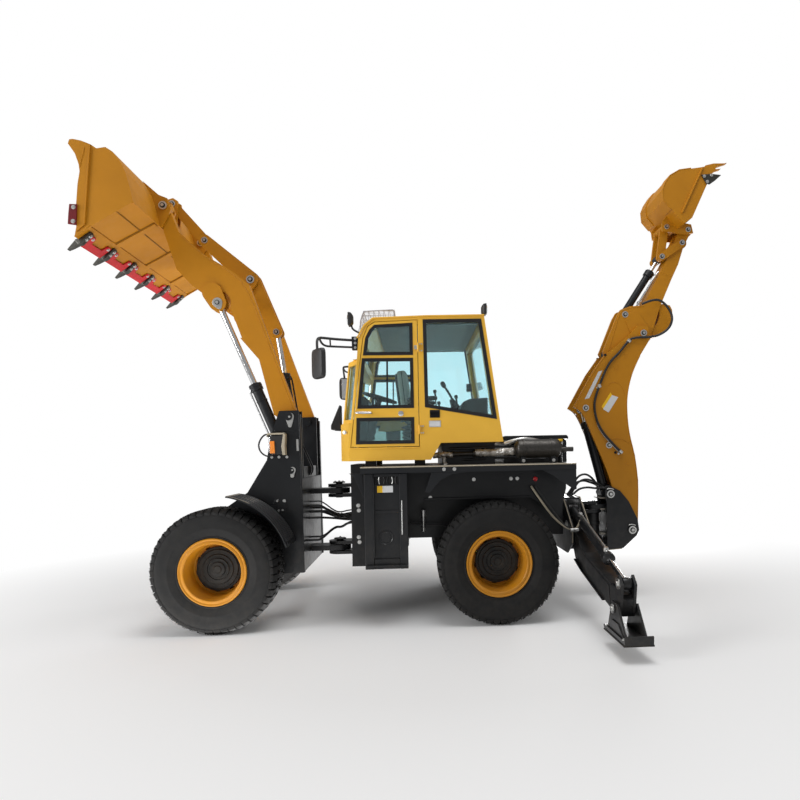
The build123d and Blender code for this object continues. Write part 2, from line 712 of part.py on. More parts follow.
stick_outline = [
    (-1790, 2480), (-1765, 2530), (-1920, 2900), (-1960, 2965), (-2060, 3000), (-2200, 3007),
    (-2490, 3545), (-2613, 3802), (-2713, 3757), (-2637, 3614),
    (-2578, 3434), (-2501, 3274), (-2406, 3060), (-2368, 2971), (-2300, 2760), (-2240, 2640),
    (-2140, 2620), (-1870, 2470),
]
with BuildPart() as stick:
    slab(stick_outline, -stick_half, stick_half)
    disc(stick_pivot, 85, -stick_half, stick_half)
    disc(hoe_hinge, 60, -stick_half, stick_half)
    # the tail and the bucket cylinder's seat are two plates with the cylinders between them
    tail_slot = [
        (-1700, 2400), (-1700, 2890), (-1850, 3100), (-2170, 3100), (-2130, 2985), (-2060, 2860),
        (-2060, 2720), (-2125, 2610), (-2160, 2400),
    ]
    slab(tail_slot, -52, 52, Mode.SUBTRACT)
    disc(hoe_cyl_base, hoe_pin, -stick_half, stick_half)
    disc(stick_pivot, boom_pin + running_fit, -150, 150, Mode.SUBTRACT)
    disc(stick_lever_pin, hoe_pin + running_fit, -150, 150, Mode.SUBTRACT)
    disc(hoe_hinge, boom_pin + running_fit, -150, 150, Mode.SUBTRACT)
save(stick, "stick")

hoe_side = [
    (-2526, 3813), (-2352, 4018), (-2344, 4116), (-2373, 4187), (-2425, 4265), (-2520, 4319),
    (-2761, 4353), (-2885, 4385), (-2906, 4354), (-2869, 4304), (-2793, 4161), (-2642, 3841),
    (-2561, 3785),
]
hoe_shell_outside = [
    (-2642, 3841), (-2561, 3785), (-2526, 3813), (-2352, 4018), (-2344, 4116), (-2373, 4187),
    (-2425, 4265), (-2520, 4319), (-2761, 4353), (-2885, 4385),
]
hoe_shell_inside = [
    (-2885, 4371), (-2757, 4339), (-2526, 4305), (-2435, 4254), (-2386, 4179), (-2358, 4114),
    (-2365, 4024), (-2537, 3823), (-2562, 3803), (-2634, 3850),
]
hoe_ear = [
    (-2720, 3740), (-2620, 3730), (-2400, 3760), (-2390, 3850), (-2440, 3915), (-2530, 3809),
    (-2561, 3785), (-2642, 3841), (-2700, 3830),
]
with BuildPart() as hoe_bucket:
    half = hoe_bucket_width / 2
    slab(hoe_shell_outside + hoe_shell_inside, -half, half)
    slab(hoe_side, -half, -half + hoe_skin)
    slab(hoe_side, half - hoe_skin, half)
    for y in (-250, -125, 0, 125, 250):
        slab([(-2780, 4350), (-2800, 4366), (-3025, 4408), (-2900, 4372)], y - 28, y + 28)
    for low in (-148, 124):
        slab(hoe_ear, low, low + 24)
    disc(hoe_hinge, boom_pin, -148, 148)
save(hoe_bucket, "hoe_bucket")

with BuildPart() as guide_levers:
    for low in (-119, 101):
        strap(stick_lever_pin, hoe_cyl_eye, 40, 40, low, low + 18)
    disc(stick_lever_pin, hoe_pin, -119, 119)
    for low in (-119, 56):
        disc(hoe_cyl_eye, 22, low, low + 63)
save(guide_levers, "guide_levers")

with BuildPart() as hoe_link:
    for low in (-88, 58):
        strap(hoe_cyl_eye, hoe_link_pin, 42, 42, low, low + 30)
        disc(hoe_cyl_eye, 22 + running_fit, low - 5, low + 35, Mode.SUBTRACT)
    disc(hoe_link_pin, 42, -118, 118)
save(hoe_link, "hoe_link")

with BuildPart() as boom_barrel:
    cylinder_barrel(boom_cyl_base, boom_cyl_eye, 0, 29, 50, 770, 60, 60, boom_pin)
save(boom_barrel, "boom_barrel")
with BuildPart() as boom_rod:
    cylinder_rod(boom_cyl_base, boom_cyl_eye, 0, 28, 120, 50, 50)
save(boom_rod, "boom_rod")
with BuildPart() as stick_barrel:
    cylinder_barrel(stick_cyl_base, stick_cyl_eye, 0, 25, 42, 900, 45, 45, hoe_pin)
save(stick_barrel, "stick_barrel")
with BuildPart() as stick_rod:
    cylinder_rod(stick_cyl_base, stick_cyl_eye, 0, 24, 180, 42, 42)
save(stick_rod, "stick_rod")
with BuildPart() as hoe_barrel:
    cylinder_barrel(hoe_cyl_base, hoe_cyl_eye, 0, 21, 38, 560, 45, 40, hoe_pin)
save(hoe_barrel, "hoe_barrel")
with BuildPart() as hoe_rod:
    cylinder_rod(hoe_cyl_base, hoe_cyl_eye, 0, 20, 90, 40, 40)
save(hoe_rod, "hoe_rod")

# ---- stabilisers: leg, cylinder and foot on each side ------------------------------------------------


def cross_plate(points, side, x_low, x_high, mode=Mode.ADD):
    """A plate across the machine, from its (y, z) outline, on the left or the right."""
    with BuildSketch(Plane.YZ.offset(x_low)) as outline:
        with BuildLine():
            Polyline(*[(side * y, z) for y, z in points], close=True)
        make_face()
    extrude(outline.sketch, amount=x_high - x_low, mode=mode)


def cross_disc(centre, side, radius, x_low, x_high, mode=Mode.ADD):
    """A round boss, pin or bore along X, centred on (y, z)."""
    with BuildSketch(Plane.YZ.offset(x_low)) as outline:
        with Locations((side * centre[0], centre[1])):
            Circle(radius)
    extrude(outline.sketch, amount=x_high - x_low, mode=mode)


leg_outline = [
    (385, 800), (640, 500), (860, 440), (1740, 275), (1860, 270), (1900, 400), (1800, 470),
    (1000, 600), (820, 680), (500, 812), (430, 840),
]
foot_half = 105
leg_cyl_angle = atan2(leg_rod_pin[1] - leg_cyl_base[1], leg_rod_pin[0] - leg_cyl_base[0])
for name, side in (("left", 1), ("right", -1)):
    x_low, x_high = leg_x - leg_half, leg_x + leg_half
    with BuildPart() as leg:
        cross_plate(leg_outline, side, x_low, x_high)
        cross_disc(leg_pivot, side, 45, x_low, x_high)
        for low in (x_low, x_high - 20):
            cross_plate([(1740, 300), (1880, 300), (1925, 515), (1860, 580), (1800, 515)], side, low, low + 20)
        cross_disc(leg_rod_pin, side, 85, x_low + 20, x_high - 20, Mode.SUBTRACT)
        cross_disc(leg_pivot, side, 30 + running_fit, x_low, x_high, Mode.SUBTRACT)
        cross_disc(leg_foot_pin, side, 25 + running_fit, x_low, x_high, Mode.SUBTRACT)
    save(leg, f"leg_{name}")
    heading = Vector(0, side * cos(leg_cyl_angle), sin(leg_cyl_angle))
    base = Vector(leg_x, side * leg_cyl_base[0], leg_cyl_base[1])
    length = hypot(leg_rod_pin[0] - leg_cyl_base[0], leg_rod_pin[1] - leg_cyl_base[1])
    with BuildPart() as leg_barrel:
        cross_disc(leg_cyl_base, side, 45, leg_x - 45, leg_x + 45)
        with BuildSketch(Plane(origin=base, x_dir=(1, 0, 0), z_dir=heading)) as tube:
            Circle(40)
        extrude(tube.sketch, amount=1180)
        with BuildSketch(Plane(origin=base + heading * 1120, x_dir=(1, 0, 0), z_dir=heading)) as gland:
            Circle(48)
        extrude(gland.sketch, amount=60)
        with BuildSketch(Plane(origin=base + heading * 70, x_dir=(1, 0, 0), z_dir=heading)) as bore:
            Circle(23)
        extrude(bore.sketch, amount=1180, mode=Mode.SUBTRACT)
    save(leg_barrel, f"leg_barrel_{name}")
    with BuildPart() as leg_rod:
        with BuildSketch(Plane(origin=base + heading * 500, x_dir=(1, 0, 0), z_dir=heading)) as shaft:
            Circle(22)
        extrude(shaft.sketch, amount=length - 500)
        cross_disc(leg_rod_pin, side, 42, leg_x - 32, leg_x + 32)
    save(leg_rod, f"leg_rod_{name}")
    with BuildPart() as foot:
        cross_plate([(1640, 160), (1640, 130), (2110, 130), (2110, 160)], side, leg_x - foot_half, leg_x + foot_half)
        for low in (leg_x - leg_half - side_gap - 16, leg_x + leg_half + side_gap):
            cross_plate([(1660, 160), (2060, 160), (1880, 370), (1760, 370)], side, low, low + 16)
        cross_disc(leg_foot_pin, side, 25, leg_x - leg_half - 30, leg_x + leg_half + 30)
    save(foot, f"foot_{name}")
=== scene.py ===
import math

import bmesh
import bpy
from mathutils import Matrix, Vector


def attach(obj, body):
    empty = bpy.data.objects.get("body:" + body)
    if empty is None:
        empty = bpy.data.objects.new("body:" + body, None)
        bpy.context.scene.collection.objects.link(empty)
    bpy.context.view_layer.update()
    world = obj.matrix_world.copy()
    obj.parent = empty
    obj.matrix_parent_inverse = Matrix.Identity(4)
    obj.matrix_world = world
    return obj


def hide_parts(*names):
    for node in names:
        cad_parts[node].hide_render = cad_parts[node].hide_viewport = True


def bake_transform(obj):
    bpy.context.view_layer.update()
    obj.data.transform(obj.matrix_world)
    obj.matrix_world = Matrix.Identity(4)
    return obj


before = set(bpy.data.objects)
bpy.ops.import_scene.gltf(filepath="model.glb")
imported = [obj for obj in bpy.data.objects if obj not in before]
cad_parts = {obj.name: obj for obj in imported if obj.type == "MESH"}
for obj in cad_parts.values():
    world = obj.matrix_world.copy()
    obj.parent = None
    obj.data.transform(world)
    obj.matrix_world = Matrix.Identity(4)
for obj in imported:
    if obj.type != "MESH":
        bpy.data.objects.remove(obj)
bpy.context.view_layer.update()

# ---------------------------------------------------------------------------
# Tyres. Wide off-road tyres of black rubber, with a smooth sidewall, bead rings
# and rows of interlocking tread blocks. The carcass is turned from its section,
# and the blocks are set round it.
TYRE_RADIUS = 0.5375
GROOVE_DEPTH = 0.021
BLOCKS_ROUND = 50
TRACK_Y = 0.8475
SIDES = ((1, "left"), (-1, "right"))
FRONT_AXLE_X, REAR_AXLE_X = 1.929, -0.521
# end of the machine and side, the side's sign and the axle's centre
WHEELS = [
    (f"{end}_{label}", side, (axle_x, side * TRACK_Y, TYRE_RADIUS))
    for end, axle_x in (("front", FRONT_AXLE_X), ("rear", REAR_AXLE_X)) for side, label in SIDES]


def new_group(name, kind, result, **inputs):
    """A node group with an input for each default, or for each kind of socket named."""
    tree = bpy.data.node_groups.new(name, kind)
    kinds = {float: "Float", int: "Int", tuple: "Vector"}
    for key, default in inputs.items():
        typed = default if isinstance(default, str) else kinds[type(default)]
        socket = tree.interface.new_socket(
            name=key.replace("_", " "), in_out="INPUT", socket_type="NodeSocket" + typed)
        if typed != default:
            socket.default_value = default
    tree.interface.new_socket(name="Result", in_out="OUTPUT", socket_type="NodeSocket" + result)
    ends = tree.nodes.new("NodeGroupInput"), tree.nodes.new("NodeGroupOutput")
    return tree, ends[0].outputs, ends[1].inputs["Result"]


def add(tree, kind, *inputs, **named):
    """A node's outputs. Inputs go in order or by capitalised name, settings in lower case."""
    node = tree.nodes.new(kind)
    feeds = list(enumerate(inputs))
    for key, value in named.items():
        if key[0].islower():
            setattr(node, key, value)
        else:
            feeds.append((key.replace("_", " "), value))
    for key, value in feeds:
        socket = node.inputs[key]
        if isinstance(value, bpy.types.NodeSocket):
            tree.links.new(value, socket)
        elif value is not None:
            socket.default_value = (*value, 1) if socket.type == "RGBA" else value
    return node.outputs


def sum_of(tree, operation, a, b, clamp=False):
    """One sum on two sockets or numbers."""
    return add(tree, "ShaderNodeMath", a, b, operation=operation, use_clamp=clamp)[0]


def texture(tree, kind, output, **sizes):
    """A texture in the piece's own coordinates."""
    place = add(tree, "ShaderNodeTexCoord")["Object"]
    return add(tree, "ShaderNodeTex" + kind, Vector=place, **sizes)[output]


def spread(tree, value, low, high, **ends):
    """Spreads the values between two levels over 0 to 1."""
    return add(tree, "ShaderNodeMapRange", Value=value, From_Min=low, From_Max=high, **ends)[0]


def mottle_group():
    """Broad uneven patches, as sun, wash and handling leave on any surface."""
    tree, given, result = new_group(
        "Mottle", "ShaderNodeTree", "Float", Scale=3.0, Low=0.35, High=0.7)
    noise = texture(tree, "Noise", "Fac", Scale=given["Scale"], Detail=6, Roughness=0.6)
    tree.links.new(spread(tree, noise, given["Low"], given["High"]), result)
    return tree


def dust_group():
    """Pale dust that lies thicker low on the machine and thins out upwards."""
    tree, given, result = new_group("Dust", "ShaderNodeTree", "Float", Amount=0.3, Full_Below=0.1,
        None_Above=1.4, Scale=9.0)
    place = add(tree, "ShaderNodeTexCoord")["Object"]
    height = spread(tree, add(tree, "ShaderNodeSeparateXYZ", place)["Z"], given["Full Below"],
        given["None Above"], To_Min=1.0, To_Max=0.0)
    noise = texture(tree, "Noise", "Fac", Scale=given["Scale"], Detail=8, Roughness=0.68)
    both = sum_of(tree, "MULTIPLY", height, spread(tree, noise, 0.38, 0.72))
    tree.links.new(sum_of(tree, "MULTIPLY", both, given["Amount"], clamp=True), result)
    return tree


MOTTLE, DUST = mottle_group(), dust_group()


def group_in(tree, group, **sizes):
    """The mask of a shared group, with this material's own values."""
    return add(tree, "ShaderNodeGroup", node_tree=group, **sizes)[0]


def blend_colour(tree, factor, first, second):
    """Mixes two colours, each a colour or a socket, by a mask."""
    return add(tree, "ShaderNodeMix", data_type="RGBA", Factor=factor, A=first, B=second)["Result"]


def surface(name, colour, other, patches, **sizes):
    """A material of two colours in patches: itself, its tree, shader, patches and colour."""
    material = bpy.data.materials.new(name)
    material.use_nodes = True
    tree = material.node_tree
    shader = tree.nodes["Principled BSDF"].inputs
    for key, size in sizes.items():
        shader[key.replace("_", " ")].default_value = size
    mask = group_in(tree, MOTTLE, **dict(zip(("Scale", "Low", "High"), patches)))
    mixed = blend_colour(tree, mask, colour, other)
    tree.links.new(mixed, shader["Base Color"])
    return material, tree, shader, mask, mixed


def bumped(tree, shader, height, strength, distance):
    """Sends a height to the shader's normal."""
    bump = add(tree, "ShaderNodeBump", Strength=strength, Distance=distance, Height=height)
    tree.links.new(bump["Normal"], shader["Normal"])


def tyre_rubber():
    material, tree, shader, _, faded = surface("tyre_rubber", (0.0055, 0.0055, 0.006),
        (0.012, 0.0118, 0.0115), (5.0, 0.3, 0.75), Roughness=0.72, Specular_IOR_Level=0.3)
    dust = group_in(tree, DUST, Amount=0.12, Full_Below=0.0, None_Above=1.5, Scale=14.0)
    tree.links.new(blend_colour(tree, dust, faded, (0.1, 0.085, 0.065)), shader["Base Color"])
    bumped(tree, shader, texture(tree, "Noise", "Fac", Scale=160, Detail=4), 0.25, 0.002)
    return material


def placed(name, mesh, material=None):
    """A mesh as a piece of the scene."""
    piece = bpy.data.objects.new(name, mesh)
    bpy.context.scene.collection.objects.link(piece)
    if material:
        mesh.materials.clear()
        mesh.materials.append(material)
    return piece


def plain_mesh(maker):
    """The mesh that an object's curve or modifiers make."""
    depsgraph = bpy.context.evaluated_depsgraph_get()
    return bpy.data.meshes.new_from_object(maker.evaluated_get(depsgraph))


def mesh_object(name, verts, faces, material=None, smooth=True):
    """A mesh piece at the origin, with its faces turned outwards."""
    mesh = bpy.data.meshes.new(name)
    mesh.from_pydata(verts, [], faces)
    work = bmesh.new()
    work.from_mesh(mesh)
    bmesh.ops.remove_doubles(work, verts=work.verts, dist=1e-6)
    bmesh.ops.recalc_face_normals(work, faces=work.faces)
    work.to_mesh(mesh)
    work.free()
    if smooth:
        mesh.shade_smooth()
        mesh.set_sharp_from_angle(angle=math.radians(35))
    return placed(name, mesh, material)


def skinned(name, rings, material, body=None, bevel=0.0, smooth=True, segments=2):
    """A closed solid through rings of points that all have the same count."""
    count = len(rings[0])
    verts = [point for ring in rings for point in ring]
    faces = [tuple(range(count)), tuple(reversed(range(len(verts) - count, len(verts))))]
    for low in range(0, len(verts) - count, count):
        for i in range(count):
            j = (i + 1) % count
            faces.append((low + i, low + j, low + count + j, low + count + i))
    piece = mesh_object(name, verts, faces, material, smooth=smooth)
    if bevel:
        edge = piece.modifiers.new("edge", "BEVEL")
        edge.width = bevel
        edge.segments = segments
        piece.data = plain_mesh(piece)
        piece.modifiers.clear()
    if body:
        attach(piece, body)
    return piece


def turned(name, section, centre, material, steps=96):
    """A closed section, (radius, y) round the loop, turned about an axle along Y."""
    x, middle, z = centre
    turns = [2 * math.pi * step / steps for step in range(steps)]
    verts = [(x + radius * math.cos(turn), middle + y, z + radius * math.sin(turn))
             for turn in turns for radius, y in section]
    count = len(section)
    faces = []
    for low in range(0, len(verts), count):
        high = (low + count) % len(verts)
        for i in range(count):
            j = (i + 1) % count
            faces.append((low + i, low + j, high + j, high + i))
    return mesh_object(name, verts, faces, material)


def copies_on(tree, given, result, shape, points, **more):
    """Copies of a shape on points, made real and given their finish."""
    copies = add(tree, "GeometryNodeInstanceOnPoints", Points=points, Instance=shape, **more)[0]
    return finished(tree, given, result, copies)


def finished(tree, given, result, shape):
    """Makes copies real and gives them the group's finish."""
    real = add(tree, "GeometryNodeRealizeInstances", shape)[0]
    dressed = add(tree, "GeometryNodeSetMaterial", Geometry=real, Material=given["Finish"])[0]
    tree.links.new(dressed, result)
    return tree


def ring_tree():
    """Copies of one piece set round an axle that lies along Y."""
    tree, given, result = new_group("SetRoundAxle", "GeometryNodeTree", "Geometry", Piece="Object",
        Radius=0.5, Count=12, Start=0.0, Centre="Vector", Finish="Material")
    ring = add(tree, "GeometryNodeMeshCircle", Radius=given["Radius"], Vertices=given["Count"])[0]
    piece = add(tree, "GeometryNodeObjectInfo", Object=given["Piece"])["Geometry"]
    index = add(tree, "GeometryNodeInputIndex")[0]
    turn = sum_of(tree, "MULTIPLY", sum_of(tree, "DIVIDE", index, given["Count"]), 2 * math.pi)
    heading, start = (add(tree, "ShaderNodeCombineXYZ", Z=z)[0] for z in (turn, given["Start"]))
    copies = add(tree, "GeometryNodeInstanceOnPoints", Points=ring, Instance=piece,
        Rotation=heading)[0]
    upright = add(tree, "GeometryNodeTransform", Geometry=copies, Rotation=start)[0]
    lying = add(tree, "GeometryNodeTransform", Geometry=upright, Translation=given["Centre"],
        Rotation=(-math.pi / 2, 0, 0))[0]
    return finished(tree, given, result, lying)


SET_ROUND_AXLE = ring_tree()


def grown(name, tree, base=None, **sizes):
    """Runs a geometry tree with these inputs and keeps the result as a plain mesh."""
    maker = placed(name + "_maker", base or bpy.data.meshes.new(name + "_base"))
    modifier = maker.modifiers.new("grow", "NODES")
    modifier.node_group = tree
    sockets = {s.name: s.identifier for s in tree.interface.items_tree if s.in_out == "INPUT"}
    for key, size in sizes.items():
        modifier[sockets[key.replace("_", " ")]] = size
    maker.update_tag()
    result = plain_mesh(maker)
    bpy.data.objects.remove(maker)
    result.name = name
    return placed(name, result)


def tread_block(name, outline):
    """One rubber block: its outline is (round the tyre, across it); it drops at the shoulder."""
    crown = [-8.5 * max(0.0, abs(across) - 0.135) ** 2 for _, across in outline]
    rings = [[(drop, t, a) for drop, (t, a) in zip(crown, outline)],
             [(drop - GROOVE_DEPTH - 0.004, t * 1.12, a) for drop, (t, a) in zip(crown, outline)]]
    return skinned(name, rings, None, bevel=0.0018, smooth=False, segments=1)


RUBBER = tyre_rubber()
shoulder_block = tread_block("shoulder_block", [
    (-0.027, 0.193), (-0.026, 0.16), (-0.028, 0.135), (-0.006, 0.118), (-0.01, 0.085),
    (0.018, 0.078), (0.021, 0.105), (0.033, 0.128), (0.026, 0.16), (0.025, 0.193)])
middle_block = tread_block("middle_block", [(-0.03, 0.066), (-0.022, 0.03), (-0.034, 0.012),
    (-0.012, 0.004), (0.02, 0.012), (0.027, 0.034), (0.016, 0.052), (0.01, 0.072)])
# (radius, y) from the outer bead, over the tread, to the inner bead
tyre_section = [(0.264, 0.15), (0.27, 0.168), (0.29, 0.18), (0.296, 0.1855), (0.303, 0.1855),
    (0.308, 0.1825), (0.33, 0.1915), (0.368, 0.1992), (0.372, 0.2005), (0.379, 0.2005),
    (0.383, 0.1998), (0.42, 0.201), (0.448, 0.1995), (0.47, 0.1955), (0.492, 0.1885),
    (0.506, 0.178), (0.514, 0.16), (0.5175, 0.13), (0.518, 0.0)]
tyre_section += [(radius, -y) for radius, y in reversed(tyre_section[:-1])]
for name, side, centre in WHEELS:
    carcass = turned("carcass_" + name, tyre_section, centre, RUBBER, steps=160)
    parts = [carcass]
    for row, (block, mirrored, shift) in enumerate((
            (shoulder_block, False, 0.0), (shoulder_block, True, 0.5),
            (middle_block, False, 0.25), (middle_block, True, 0.75))):
        source = placed("block", block.data.copy())
        if mirrored:
            source.data.transform(Matrix.Diagonal((1, -1, -1, 1)))
        parts.append(grown(f"tread_{row}_{name}", SET_ROUND_AXLE, Piece=source, Radius=TYRE_RADIUS,
            Count=BLOCKS_ROUND, Start=2 * math.pi * shift / BLOCKS_ROUND, Centre=centre,
            Finish=RUBBER))
        bpy.data.objects.remove(source)
    work = bmesh.new()
    for part in parts:
        work.from_mesh(part.data)
    work.to_mesh(carcass.data)
    work.free()
    for part in parts[1:]:
        bpy.data.objects.remove(part)
    carcass.data.set_sharp_from_angle(angle=math.radians(30))
    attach(carcass, "wheel_" + name)
    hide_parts("tyre_" + name)
for block in (shoulder_block, middle_block):
    bpy.data.objects.remove(block)

# ---------------------------------------------------------------------------
# Wheels. Deep pressed-steel rims in amber paint, with a stepped flange over the
# tyre bead, and a black planetary hub set well inside, held by a ring of nuts.
# The rim and hub are turned, and the nuts and hub bolts are set round the axle.

# (radius, y from the tyre's middle): flange, well, disc and back flange
RIM_SECTION = [(0.289, 0.176), (0.2895, 0.186), (0.286, 0.1925), (0.279, 0.1935), (0.2745, 0.189),
    (0.268, 0.187), (0.264, 0.1895), (0.247, 0.1905), (0.2415, 0.186), (0.24, 0.176),
    (0.2365, 0.12), (0.229, 0.108), (0.227, 0.02), (0.22, -0.012), (0.207, -0.022), (0.15, -0.022),
    (0.15, -0.034), (0.215, -0.034), (0.236, -0.02), (0.24, -0.15), (0.262, -0.17),
    (0.2895, -0.176), (0.2895, -0.186), (0.255, -0.184), (0.262, -0.16), (0.262, 0.15)]
HUB_SECTION = [(0.0, 0.055), (0.03, 0.055), (0.036, 0.05), (0.062, 0.048), (0.066, 0.036),
    (0.086, 0.036), (0.09, 0.044), (0.096, 0.044), (0.099, 0.032), (0.128, 0.03), (0.134, 0.022),
    (0.168, 0.02), (0.172, 0.008), (0.192, 0.006), (0.195, -0.002), (0.195, -0.022),
    (0.118, -0.022), (0.0, -0.022)]


def paint(name, colour, faded, roughness, gloss, dust_amount):
    """Sprayed enamel: uneven sheen, fine orange peel, faded patches and low dust."""
    material, tree, shader, _, coat = surface(name, colour, faded, (1.9, 0.35, 0.72),
        Specular_IOR_Level=0.3, Coat_Weight=gloss, Coat_Roughness=0.12)
    dust = group_in(tree, DUST, Amount=dust_amount, None_Above=1.3, Scale=11.0)
    tree.links.new(blend_colour(tree, dust, coat, (0.27, 0.225, 0.165)), shader["Base Color"])
    handled = group_in(tree, MOTTLE, Scale=12.0, Low=0.3, High=0.8)
    rough = sum_of(tree, "ADD", sum_of(tree, "MULTIPLY", handled, 0.16), roughness)
    dull = sum_of(tree, "MULTIPLY", dust, 0.35)
    tree.links.new(sum_of(tree, "ADD", rough, dull, clamp=True), shader["Roughness"])
    bumped(tree, shader, texture(tree, "Noise", "Fac", Scale=90), 0.05, 0.002)
    return material


def uneven_sheen(tree, shader, mask, share, roughness):
    """Makes the surface rougher where its mask is high."""
    rough = sum_of(tree, "ADD", sum_of(tree, "MULTIPLY", mask, share), roughness)
    tree.links.new(rough, shader["Roughness"])


def bright_steel(name, colour, roughness):
    """Bare or plated steel with fine scuffs."""
    darker = tuple(c * 0.72 for c in colour)
    material, tree, shader, scuffs, _ = surface(
        name, colour, darker, (45.0, 0.4, 0.75), Metallic=1.0)
    uneven_sheen(tree, shader, scuffs, 0.18, roughness)
    return material


AMBER = paint("amber_paint", (0.52, 0.212, 0.005), (0.45, 0.18, 0.004), 0.45, 0.05, 0.14)
BLACK = paint("black_paint", (0.0065, 0.0075, 0.0095), (0.011, 0.012, 0.014), 0.33, 0.2, 0.1)
HUB_BLACK = paint("hub_black", (0.009, 0.0095, 0.0095), (0.015, 0.015, 0.0145), 0.5, 0.05, 0.14)
ZINC = bright_steel("zinc_plate", (0.74, 0.74, 0.72), 0.3)

wheel_nut = turned("wheel_nut", [
    (0.0, 0.03), (0.008, 0.03), (0.01, 0.026), (0.0155, 0.024), (0.0175, 0.02),
    (0.0175, 0.004), (0.021, 0.002), (0.021, 0.0), (0.0, 0.0)], (0, 0, 0), None, steps=12)
wheel_nut.data.transform(Matrix.Rotation(-math.pi / 2, 4, "X"))
for name, side, centre in WHEELS:
    rim, hub = (
        turned(part + name, [(r, side * y) for r, y in section], centre, material, steps)
        for part, section, material, steps in (
            ("rim_dish_", RIM_SECTION, AMBER, 128), ("hub_cover_", HUB_SECTION, HUB_BLACK, 96)))
    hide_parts("rim_" + name)
    pieces = [rim, hub]
    for label, radius, count, seat_y, finish, scale in (
            ("wheel_nuts", 0.2035, 10, -0.022, ZINC, 1.0),
            ("hub_bolts", 0.18, 16, 0.006, HUB_BLACK, 0.62),
            ("cover_bolts", 0.113, 10, 0.03, HUB_BLACK, 0.45)):
        nut = placed("nut", wheel_nut.data.copy())
        nut.data.transform(Matrix.Scale(scale, 4))
        if side < 0:
            nut.data.transform(Matrix.Rotation(math.pi, 4, "X"))
        pieces.append(grown(
            f"{label}_{name}", SET_ROUND_AXLE, Piece=nut, Radius=radius, Count=count, Start=0.2,
            Centre=(centre[0], centre[1] + side * seat_y, centre[2]), Finish=finish))
        bpy.data.objects.remove(nut)
    for piece in pieces:
        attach(piece, "wheel_" + name)
bpy.data.objects.remove(wheel_nut)

# ---------------------------------------------------------------------------
# Frames and axles. Welded plate in satin black: the front frame with its two
# towers, the rear frame with its hinge column, both axles, the deck and the
# stabiliser housing. They keep their own shapes and take the black paint.


def dress(material, nodes):
    """Gives CAD pieces their finish."""
    for node in nodes.split():
        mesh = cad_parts[node].data
        mesh.materials.clear()
        mesh.materials.append(material)


dress(BLACK, "front_frame rear_frame front_axle rear_axle deck side_boxes stabiliser_frame "
      "engine_block swing_post lift_barrels dump_barrel boom_barrel stick_barrel hoe_barrel "
      "leg_barrel_left leg_barrel_right leg_left leg_right foot_left foot_right engine_hood "
      "front_fenders headlamps muffler mirrors operator_controls seat")


def fastener_tree():
    """A turned head on a washer, set on each given point and facing the way it says."""
    tree, given, result = new_group(
        "SetFasteners", "GeometryNodeTree", "Geometry", Places="Geometry", Head_Radius=0.01,
        Head_Height=0.008, Sides=6, Washer_Radius=0.014, Washer_Height=0.003, Finish="Material")
    joined = tree.nodes.new("GeometryNodeJoinGeometry")
    for part, sides, rest in (("Head", given["Sides"], given["Washer Height"]),
                              ("Washer", 24, 0.0)):
        height = given[part + " Height"]
        barrel = add(tree, "GeometryNodeMeshCylinder", Vertices=sides,
            Radius=given[part + " Radius"], Depth=height)["Mesh"]
        half = sum_of(tree, "ADD", sum_of(tree, "MULTIPLY", height, 0.5), rest)
        up = add(tree, "ShaderNodeCombineXYZ", Z=half)[0]
        seat = add(tree, "GeometryNodeTransform", Geometry=barrel, Translation=up)[0]
        tree.links.new(seat, joined.inputs[0])
    facing = add(tree, "GeometryNodeInputNamedAttribute", data_type="FLOAT_VECTOR", Name="facing")
    aim = add(tree, "FunctionNodeAlignRotationToVector", axis="Z", Vector=facing["Attribute"])[0]
    return copies_on(tree, given, result, joined.outputs[0], given["Places"], Rotation=aim)


SET_FASTENERS = fastener_tree()


def fasteners(name, body, spots, finish, radius, height, sides=6, washer=None, thick=0.003):
    """Bolts, nuts or pin heads on a body, each at (x, y, z) and facing a direction."""
    places = bpy.data.meshes.new(name + "_places")
    places.from_pydata([spot for spot, _ in spots], [], [])
    facing = places.attributes.new("facing", "FLOAT_VECTOR", "POINT")
    for i, (_, direction) in enumerate(spots):
        facing.data[i].vector = direction
    piece = grown(name, SET_FASTENERS, base=places, Head_Radius=radius, Head_Height=height,
        Sides=sides, Washer_Radius=washer or radius * 1.5, Washer_Height=thick, Finish=finish)
    piece.data.set_sharp_from_angle(angle=math.radians(30))
    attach(piece, body)


def both_bolts(name, y, places, radius, height, body="chassis", finish=ZINC, **more):
    """Bolts at (x, z) on each side of the machine, facing outwards."""
    for side, label in SIDES:
        spots = [((x, side * y, z), (0, side, 0)) for x, z in places]
        fasteners(f"{name}_{label}", body, spots, finish, radius, height, **more)


def rect(a, b, c, d):
    """The outline of a rectangle between two corners."""
    return [(a, b), (c, b), (c, d), (a, d)]


def extruded(name, outline, low, high, material, body="chassis", axis="Y", bevel=0.002):
    """A bevelled plate: its outline in the plane across the axis, between low and high."""
    at = "XYZ".index(axis)
    rings = [[(*point[:at], t, *point[at:]) for point in outline] for t in (low, high)]
    return skinned(name, rings, material, body, bevel, smooth=False)


def both_plates(name, outline, low, high, material, body="chassis", bevel=0.002):
    """A plate on each side of the machine."""
    return [extruded(f"{name}_{label}", outline, side * low, side * high, material, body,
                     bevel=bevel) for side, label in SIDES]


